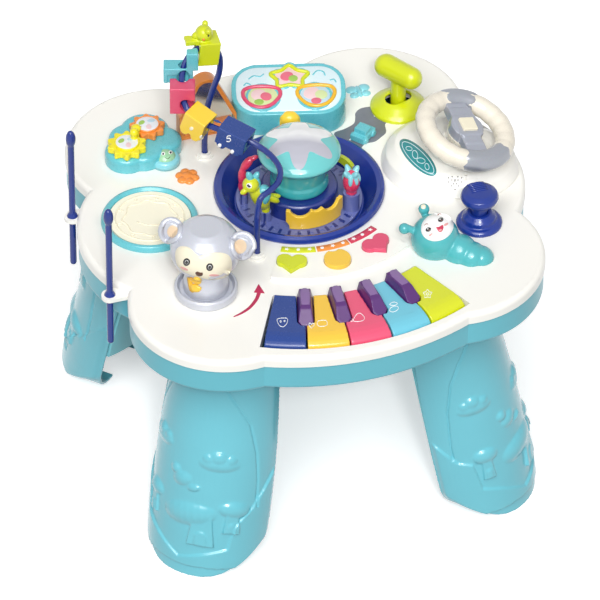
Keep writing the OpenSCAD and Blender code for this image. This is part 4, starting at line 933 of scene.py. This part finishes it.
FACE = [(175.6, 257), (176.6, 249.5), (181, 246.4), (188, 247), (194, 251.6), (198.6, 255.8), (202.6, 255),
        (208.9, 253), (219.7, 252.4), (228.2, 255), (231.6, 262), (231, 270.2), (226.6, 276.8),
        (214.9, 279.6), (200.4, 277.5), (186.5, 272.6), (178.3, 266)]
EYES = ((186.6, 262.1), (209.7, 267.1))
NOSE = [(195.4, 272.6), (197.5, 271.6), (200.2, 272.4), (202.6, 272.8), (202.4, 275.4), (199, 276.3),
        (196.2, 275)]
CHEEKS = ((184.2, 268.6, 4.2, 24), (214.4, 275.4, 5.4, 2))  # middle, length, slant
EARS = ((240.2, 246.5, 6.4, 7.2, 2.0), (172.6, 231.5, 5.4, 6.2, -1.6))  # middle, half sizes, rim's shift
SCARF = [(189.5, 277), (190.5, 283), (192, 289), (194.5, 290.5)]
BOW = (((191, 279), (196, 277), (201.5, 279.5), (200, 284), (195, 283)),
       ((191.5, 284), (197, 284.5), (201.5, 288), (199, 291.5), (192.5, 290.5)))
ARROW = [(233.6, 316.9), (242, 312.8), (250, 307.2), (256.4, 299.2), (259.4, 291.4)]
ARROW_TIP = [(253.8, 292.6), (264.8, 293.4), (258.6, 284.0)]

monkey = soften("monkey", 0.8, 6)
soften("monkey_base", 0.7, 4)
mask = sticker("monkey_face", CREAM, monkey, smooth_loop(FACE, 4), 0.8, 0.5, rings=9)
for j, (u, v) in enumerate(EYES):
    dark = sticker(f"monkey_eye_{j}", BLACK, mask, oval(u, v, 3.5, 3.9, 15), 0.3, 0.35)
    pale = sticker(f"monkey_iris_{j}", WHITE, dark, oval(u, v + 0.1, 1.7, 2.1, 15), 0.12, 0.12)
    sticker(f"monkey_pupil_{j}", BLACK, pale, oval(u, v + 0.2, 1.4, 1.8, 15), 0.1)
sticker("monkey_nose", BARK, mask, smooth_loop(NOSE, 4), 0.35, 0.5)
for j, (u, v, half, slant) in enumerate(CHEEKS):
    sticker(f"monkey_cheek_{j}", BLUSH, mask, oval(u, v, half, 1.1, slant), 0.12)
for j, (u, v, a, b, shift) in enumerate(EARS):
    sticker(f"monkey_ear_{j}", SKIN, monkey, oval(u, v, a, b, 10), 0.25, 0.2)
    rim = oval(u + shift, v - 0.8, a + 4.6, b + 4.4, 10)
    bead(f"monkey_ear_rim_{j}", SILVER, monkey, rim, 2.7, 0.25)
ribbon("monkey_scarf", GOLD, monkey, smooth_line(SCARF, 5), 4.2, 1.5)
for j, line in enumerate(BOW):
    sticker(f"monkey_bow_{j}", KEY_YELLOW, monkey, smooth_loop(line, 5), 1.6, 1.0)


def arrow_width(share):
    return 0.8 + 4.0 * share ** 0.6


ribbon("turn_arrow", ARROW_RED, cad["top_shell"], smooth_line(ARROW, 6), arrow_width, 0.2)
plate("turn_arrow_tip", "table", ARROW_RED, on_table(ARROW_TIP), Matrix(), TOP - 0.3, TOP + 0.25, 0.05)

# ---------------------------------------------------------------- grub and plunger

GRUB_FACE = enlarged(385, 175, 9.8)(512, 512)
GRUB_EYES = ((428.4, 229.6), (440.8, 219.8))
GRUB_BROWS = (((424.4, 225.4), (426.2, 223.9), (428.4, 224.2)),
              ((437.4, 215.2), (439.6, 213.8), (441.8, 214.6)))
GRUB_MOUTH = [(436.2, 227.4), (439, 226.8), (442.6, 224.8), (443.4, 228), (441.6, 231.6), (438.4, 231.6)]
GRUB_TONGUE, GRUB_FEELER = (440.6, 230.0), (423.4, 206.8)
GRUB_CHEEKS = ((431.0, 234.6), (446.0, 224.4))
PLUNGER = (151, -73)
RIDGE_STEP = 3.0

grub = soften("grub", 0.8, 5)
soften("plunger_base", 0.7, 4)
plunger = soften("plunger_knob", 0.6, 5)
visage = sticker("grub_face", WHITE, grub, oval(*GRUB_FACE, 16.5, 13.6, -22), 0.8, 0.5, rings=9)
for j, (u, v) in enumerate(GRUB_EYES):
    dark = sticker(f"grub_eye_{j}", BLACK, visage, oval(u, v, 2.9, 2.2, -20), 0.25, 0.3)
    sticker(f"grub_glint_{j}", WHITE, dark, oval(u - 0.7, v - 0.7, 0.75), 0.1)
    sticker(f"grub_blink_{j}", MOUTH, dark, oval(u + 0.8, v + 0.5, 0.9, 0.6), 0.1)
for j, line in enumerate(GRUB_BROWS):
    ribbon(f"grub_brow_{j}", MOUTH, visage, smooth_line(line, 4), 0.8, 0.15)
mouth = sticker("grub_mouth", CRIMSON, visage, smooth_loop(GRUB_MOUTH, 4), 0.2, 0.2)
sticker("grub_tongue", BLUSH, mouth, oval(*GRUB_TONGUE, 1.5, 1.0, -20), 0.12)
for j, spot in enumerate(GRUB_CHEEKS):
    sticker(f"grub_cheek_{j}", BLUSH, visage, oval(*spot, 2.6, 1.1, -30), 0.12)
sticker("grub_feeler_tip", CREAM, grub, oval(*GRUB_FEELER, 2.6, 2.4), 0.5, 0.6)

for j in range(6):
    ridge_y = PLUNGER[1] + 6.5 + (j - 2.5) * RIDGE_STEP * 0.9
    line = [Vector((PLUNGER[0] + x, ridge_y)) for x in (-8, -4, 0, 4, 8)]
    ribbon(f"plunger_ridge_{j}", ROYAL, plunger, line, 1.5, 0.8, over)

# ---------------------------------------------------------------- gears, pond and flower

GEARS = (("yellow_gear", -141, 115), ("orange_gear", -114.67, 135.2))
GEAR_FACE = TOP + 15.4
GEAR_RIM = [(12.2, 6.0), (12.2, 8.2), (11.8, 8.8), (11.2, 9.0), (10.8, 8.3), (0.2, 8.3)]
GEAR_KNOB = (136.4, 148.6)
PRINT_REACH = 5.4
PRINTS = (PICTURE_BLUE, PICTURE_LEAF, PICTURE_PINK)
POND = at(-107, 102, TOP)
POND_EDGE = [(14.4, 1), (14.4, 5.5), (13.2, 8.0), (11.5, 8.6), (0.3, 8.6)]
POND_DOME_RADIUS, POND_DOME_FOOT, POND_DOME_RISE = 11.4, 4, 10.2
POND_ARC = (0.15, 0.4, 0.7, 1.0, 1.25, 1.45, 1.54)  # angles up the dome
POND_EYES = ((163.2, 153.6), (170.6, 152.2))
POND_SMILE = [(164.8, 157.2), (167.6, 158.6), (170.2, 156.8)]
FLOWER = (-93, 75)
PETAL_COUNT, FLOWER_REACH = 6, 7

soften("gear_cloud", 0.8, 6)
for node, x, y in GEARS:
    soften(node, 0.55, 5)
for node, x, y in GEARS:
    turned(f"{node}_rim", node, FINISH[node], GEAR_RIM, at(x, y, GEAR_FACE))
    disc = turned(f"{node}_window", node, PEARL, lens_profile(10.7, 7.4, 8.5, 0.4), at(x, y, GEAR_FACE))
    for j, tone in enumerate(PRINTS):
        spot = around((x, y), PRINT_REACH, 30 + 120 * j)
        sticker(f"{node}_print_{j}", tone, disc, oval(*spot, 3.6, 2.6, 40 * j), 0.12, view=over)
knob = on_table([GEAR_KNOB])[0]
melt("yellow_gear_knob", "yellow_gear", LEMON,
     [ball(*knob, TOP + 25.5, 5.0, 5.0, 3.6), rod(*knob, TOP + 22.5, 4.2, 6)], 0.5, 4)
turned("pond_disc", "table", PALE_TEAL, POND_EDGE, POND)
pond_line = [(POND_DOME_RADIUS, POND_DOME_FOOT)]
for t in POND_ARC:
    pond_line.append((POND_DOME_RADIUS * math.cos(t), POND_DOME_FOOT + POND_DOME_RISE * math.sin(t)))
pond = turned("pond_dome", "table", MOSS, pond_line, POND)
for j, (u, v) in enumerate(POND_EYES):
    pale = sticker(f"pond_eye_{j}", WHITE, pond, oval(u, v, 1.9, 1.9), 0.15, 0.1)
    sticker(f"pond_pupil_{j}", BLACK, pale, oval(u, v + 0.3, 1.0, 1.1), 0.12, 0.1)
ribbon("pond_smile", BLACK, pond, smooth_line(POND_SMILE, 4), 0.5, 0.15)
flower = []
for k in range(PETAL_COUNT):
    spot = around(FLOWER, FLOWER_REACH, 30 + 360 / PETAL_COUNT * k)
    flower.append(ball(*spot, TOP, 4.9, 4.9, 3.2))
melt("flower", "table", ORANGE, flower + [ball(*FLOWER, TOP + 0.6, 6, 6, 3.4)], 0.5, 4)

# ---------------------------------------------------------------- drum

DRUM = (-146.0, 23.0)
CIRCLE_RADIUS, BERRY_REACH, BERRIES = 33, 29.8, 9
CLOUD_LOBES, LOBE_FOOT, LOBE_TOP, LOBE_STEP = 8, 23.5, 26.5, 0.39


def drum_line(name, line, radius, closed=True):
    bead(name, CREAM, cad["drum_head"], line, radius, view=over, closed=closed)


drum_line("drum_circle", oval(*DRUM, CIRCLE_RADIUS), 0.8)
cloud = []
for k in range(CLOUD_LOBES):
    a = math.radians(360 / CLOUD_LOBES * k + 12)
    for reach, b in ((LOBE_FOOT, a), (LOBE_TOP, a + LOBE_STEP)):
        cloud.append((DRUM[0] + reach * math.cos(b), DRUM[1] + reach * math.sin(b)))
drum_line("drum_cloud", smooth_loop(cloud, 5), 0.7)
for k in range(BERRIES):
    turn = 360 / BERRIES * k
    drum_line(f"drum_berry_{k}", oval(*around(DRUM, BERRY_REACH, turn + 20), 2.1, 1.3, turn, 14), 0.4)
smile = [(DRUM[0] - 13, DRUM[1] - 2), (DRUM[0] - 4, DRUM[1] - 10), (DRUM[0] + 8, DRUM[1] - 12)]
drum_line("drum_smile", smooth_line(smile, 6), 0.6, closed=False)

# ---------------------------------------------------------------- story box

BOX = at(27, 135, TOP) @ spin(-15)
LID = BOX @ at(0, -31, 26) @ Matrix.Rotation(math.atan(12 / 62), 4, "X") @ at(0, 31)
LID_HALF, LID_CORNER = (50.5, 27.5), 21
SHIELD = [(-15, 9), (0, 11.5), (15, 8.5), (17.5, 0), (9.5, -11), (-2, -14.5), (-12.5, -9.5), (-18, 1)]
SHIELD_PLACE = (26, 8.5)  # from the lid's middle, to the side and down
STAR, STAR_STRETCH = (1.5, 14.0), (1.12, 0.84)
PICTURES = (
    (oval(-1, 15, 6.5, 5.5, 20), PICTURE_FRUIT), (oval(5, 12, 4.5, 4), PICTURE_LEAF),
    (oval(-29, -7, 7.5, 6.5, 15), PICTURE_PINK), (oval(-22, -9.5, 5.5, 5.0, -20), PICTURE_FRUIT),
    (oval(-29, -16, 4.6, 3.4), PICTURE_LEAF), (oval(22, -7, 8.0, 7.0, 20), PICTURE_PINK),
    (oval(31, -9, 6.0, 5.4, -15), PICTURE_GREEN), (oval(26, -16.5, 5.0, 3.6), PICTURE_FRUIT),
)
LID_MARKS = (((-38, 13), (-33, 17), (-27, 16), (-23, 19)), ((-43, 5), (-40, 8), (-36, 6)),
             ((24, 16), (28, 21), (34, 20), (36, 15)), ((40, 9), (44, 10), (46, 6)))

soften("story_box", 0.9, 5)
lid_line = []
for sx, sy, a0 in ((1, 1, 0), (-1, 1, 90), (-1, -1, 180), (1, -1, 270)):
    centre = (sx * (LID_HALF[0] - LID_CORNER), sy * (LID_HALF[1] - LID_CORNER))
    lid_line += [around(centre, LID_CORNER, a0 + 90 * k / 8) for k in range(9)]
plate("box_lid", "table", LID_BLUE, lid_line, LID, -2.0, 0.9, 0.8)
star = []
for p in star_line(*STAR, 17.0, 0.7, turn=90):
    star.append(Vector([STAR[i] + STAR_STRETCH[i] * (p[i] - STAR[i]) for i in (0, 1)]))
rose = smooth_loop([(x - SHIELD_PLACE[0], y - SHIELD_PLACE[1]) for x, y in SHIELD], 6)
sun = smooth_loop([(SHIELD_PLACE[0] - x, y - SHIELD_PLACE[1]) for x, y in SHIELD], 6)


def in_lid(line, z):
    return [LID @ (Vector((p[0], p[1], z)) * MM) for p in line]


WINDOWS = (("star", star, LIME, PICTURE_PINK), ("rose", rose, PINK, PICTURE_GREEN),
           ("sun", sun, GOLD, PICTURE_BLUE))
for label, line, rim, picture in WINDOWS:
    plate(f"box_{label}_window", "table", picture, line, LID, 0.4, 1.5, 0.2)
    tube(f"box_{label}_rim", "table", rim, in_lid(line, 1.7), 2.0, closed=True)
for j, (line, tone) in enumerate(PICTURES):
    outline = smooth_loop([tuple(p) for p in line[::5]], 4)
    plate(f"box_picture_{j}", "table", tone, outline, LID, 1.0, 1.75 + 0.05 * j, 0.1)
for j, line in enumerate(LID_MARKS):
    tube(f"box_mark_{j}", "table", TEAL, in_lid(smooth_line(line, 5), 0.9), 0.7)
clip = [ball(0, -30.5, 20, 10, 7.5, 8), block(0, -30, 14, 20, 9, 10)]
melt("box_clip", "table", YELLOW, clip, 0.6, 8, BOX)

# ---------------------------------------------------------------- road, car, joystick and butterfly

road_view = enlarged(330, 85, 15.68)
ROAD = [(60, 770), (230, 690), (370, 610), (395, 520), (400, 440), (480, 370), (640, 340), (880, 330),
        (1060, 400), (1070, 500), (940, 560), (865, 620), (880, 740), (800, 820), (700, 890), (540, 930),
        (430, 1060), (250, 960)]
DASHES = ((690, 490, 765, 430), (305, 860, 385, 812), (870, 400, 960, 390))
BUTTERFLY = (102, 147)

road_line = smooth_loop([road_view(*p) for p in ROAD], 4)
road = plate("road", "table", ASPHALT, on_table(road_line), Matrix(), TOP - 0.3, TOP + 0.25, 0.1)
for j, (x0, y0, x1, y1) in enumerate(DASHES):
    dash = [Vector(road_view(x, y)) for x, y in ((x0, y0), ((x0 + x1) / 2, (y0 + y1) / 2), (x1, y1))]
    ribbon(f"road_dash_{j}", LINE_WHITE, road, dash, 1.5, 0.12)
soften("toy_car", 0.5, 7)
soften("joystick", 0.7, 6)
soften("joystick_base", 0.7, 4)
wings = []
for sx in (-1, 1):
    for sy, r in ((-1, 4.6), (1, 6.2)):
        wings.append(ball(BUTTERFLY[0] + 6 * sx, BUTTERFLY[1] + 4.5 * sy, TOP, r, r * 0.85, 2.6))
melt("butterfly", "table", PALE_TEAL, wings + [ball(*BUTTERFLY, TOP + 0.6, 2.2, 8.5, 3.2)], 0.5, 4)

# ---------------------------------------------------------------- steering wheel and console

WHEEL = at(152, 8, TOP + 20) @ spin(-31) @ Matrix.Rotation(math.radians(19), 4, "Y") @ at(0, 0, 34)
RING_RADIUS, RING_BAR = 40, 9.5
GRIP_BAR, GRIP_SWELL = 9.95, 0.5
UPPER_GRIP, LOWER_GRIP = (89, 143), (-82, -8)  # from and to, degrees
RING_SIDES = 28
RING_BUMPS, BUMP_RISE = 20, 0.45
GRIP_RIBS, RIB_SHARE = 6, 0.035
BADGE_PLACE = enlarged(365, 80, 8.96)(475, 695)
GRILLE, GRILLE_MIDDLE = (455, 183), (455, 182.5)
BADGE_CURLS = ((-0.6, 3.2), (-0.2, 4.2), (0.2, 4.2), (0.6, 3.2))  # place along the badge, size

console = soften("wheel_console", 0.9, 6)


def ring_part(name, material, bar, a0, a1, swell=0.0, ends=True):
    """Part of the wheel's ring: a ribbed grip with rounded ends, or the whole bumpy ring."""
    points, n = [], max(8, int(abs(a1 - a0) / 3))
    for i in range(n + 1):
        share = i / n
        a = math.radians(a0 + (a1 - a0) * share)
        close = min(share, 1 - share) * n
        bump = 0 if ends else BUMP_RISE * abs(math.sin(RING_BUMPS / 2 * a))
        r = bar + swell * math.sin(math.pi * share) + bump
        if ends:
            r *= math.sqrt(min(1.0, 0.72 + 0.28 * min(1.0, close / 1.5)))
        for k in range(RING_SIDES):
            t = 2 * math.pi * k / RING_SIDES
            q = r * (1 + (RIB_SHARE * math.cos(GRIP_RIBS * t) if ends else 0))
            reach = RING_RADIUS + q * math.cos(t)
            points.append(WHEEL @ (Vector((reach * math.cos(a), reach * math.sin(a), q * math.sin(t))) * MM))
    faces = grid_faces(n + 1, RING_SIDES, flipped=True)
    if ends:
        faces += [tuple(range(RING_SIDES)), tuple(reversed(range(n * RING_SIDES, (n + 1) * RING_SIDES)))]
    return skin(name, "steering_wheel", material, points, faces)


ring = ring_part("wheel_rim", SHELL, RING_BAR, 0, 360, ends=False)
ring_part("wheel_grip_upper", GRIP, GRIP_BAR, *UPPER_GRIP, GRIP_SWELL)
ring_part("wheel_grip_lower", GRIP, GRIP_BAR, *LOWER_GRIP, GRIP_SWELL)
hub = [rod(0, 0, 1, 16.5, 11), block(0, 0, 2, 24, 25, 11),
       block(20, 0, 0.5, 22, 21, 8.5), block(-20, 0, 0.5, 22, 22, 9.5), block(-17, 0, 3.5, 12, 24, 7),
       block(17, 0, 2.5, 10, 18, 7)]
melt("wheel_hub", "steering_wheel", HUB, hub, 0.7, 5, WHEEL @ spin(-55))
collar = [rod(0, 0, -11, 11.5, 16, 17), rod(0, 0, -24, 6, 40)]
melt("wheel_collar", "steering_wheel", SHELL, collar, 0.7, 4, WHEEL)
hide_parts("steering_wheel")
soften("horn_button", 0.5, 5)

badge_oval = oval(*BADGE_PLACE, 24.5, 9.2, 45)
badge = sticker("console_badge", BADGE, console, badge_oval, 0.6, 0.5, rings=8)
badge_line = oval(*BADGE_PLACE, 21.5, 6.6, 45, 48)
ribbon("console_badge_line", LID_BLUE, badge, badge_line, 0.7, 0.15, closed=True)
for j, (share, size) in enumerate(BADGE_CURLS):
    u, v = (place + 15 * share for place in BADGE_PLACE)
    curl = oval(u, v, size, size * 0.62, 15 + 60 * (j % 2), 24)
    ribbon(f"console_badge_curl_{j}", LID_BLUE, badge, curl, 0.6, 0.15, closed=True)
# Painted shade: dark dots on the console stand for the shade in the grille's holes.
for j, spot in enumerate(heart_line(*GRILLE, 13)[::4] + heart_line(*GRILLE_MIDDLE, 6)[::8]):
    sticker(f"grille_hole_shade_{j}", DARK, console, oval(*spot, 0.62, n=12), 0.05, rings=3)

# ---------------------------------------------------------------- drum ring, dome, sticks and mirror

soften("drum_ring", 0.6, 3)
soften("dome", 0.9, 2)
soften("drumstick_1", 0.6, 3)
soften("drumstick_2", 0.6, 3)
soften("mirror_frame", 0.7, 4)

# ---------------------------------------------------------------- studio

BLACK_LIGHT, FLOOR_LIGHT, WHITE_LIGHT = (0, 0, 0, 1), (0.4, 0.4, 0.4, 1), (1, 1, 1, 1)
FLOOR_HALF = 9  # m


def direct_rays(finish):
    """1 where the eye looks straight, in a gloss or through a clear part, 0 for scattered light."""
    camera = finish.node("ShaderNodeLightPath", output="Is Camera Ray")
    sharp = camera.out("Is Glossy Ray").math("MAXIMUM", camera.out("Is Transmission Ray"))
    return camera.math("MAXIMUM", sharp)


ground = Finish("studio_floor")
floor_mesh = bpy.data.meshes.new("floor")
floor_corners = [(x * FLOOR_HALF, y * FLOOR_HALF, 0) for x, y in ((-1, -1), (1, -1), (1, 1), (-1, 1))]
floor_mesh.from_pydata(floor_corners, [], [(0, 1, 2, 3)])
floor = bpy.data.objects.new("floor", floor_mesh)
bpy.context.scene.collection.objects.link(floor)
seen = direct_rays(ground)
pale = ground.mix(ground.noise(3.0), paint("FAFAF9"), paint("FDFDFD"))
floor_mesh.materials.append(ground.surface({
    "Base Color": ground.mix(seen, paint("9A9A9A"), pale),
    "Roughness": ground.noise(40.0) * 0.1 + 0.7,
    "Specular IOR Level": 0.1,
    "Emission Color": ground.mix(seen, BLACK_LIGHT, FLOOR_LIGHT),
    "Emission Strength": 1.0,
}))

world = bpy.data.worlds.new("studio")
bpy.context.scene.world = world
air = Finish("air", world)
plain = air.node("ShaderNodeBackground", {}, {"Color": WHITE_LIGHT, "Strength": 0.2})
bright = air.node("ShaderNodeBackground", {}, {"Color": WHITE_LIGHT, "Strength": 1.0})
both = air.node("ShaderNodeMixShader", {}, {0: direct_rays(air), 1: plain, 2: bright})
air.node("ShaderNodeOutputWorld", {}, {"Surface": both})


def lamp(name, heading, height, strength, wide):
    light = bpy.data.lights.new(name, "SUN")
    light.energy, light.angle = strength, math.radians(wide)
    holder = bpy.data.objects.new(name, light)
    a, h = math.radians(heading), math.radians(height)
    way_in = Vector((math.cos(a) * math.cos(h), math.sin(a) * math.cos(h), math.sin(h)))
    holder.rotation_euler = way_in.to_track_quat("Z", "Y").to_euler()
    bpy.context.scene.collection.objects.link(holder)


lamp("broad_light", heading=246, height=50, strength=2.55, wide=40)
lamp("small_light", heading=258, height=42, strength=0.8, wide=5)
bpy.context.scene.view_settings.view_transform = "Standard"
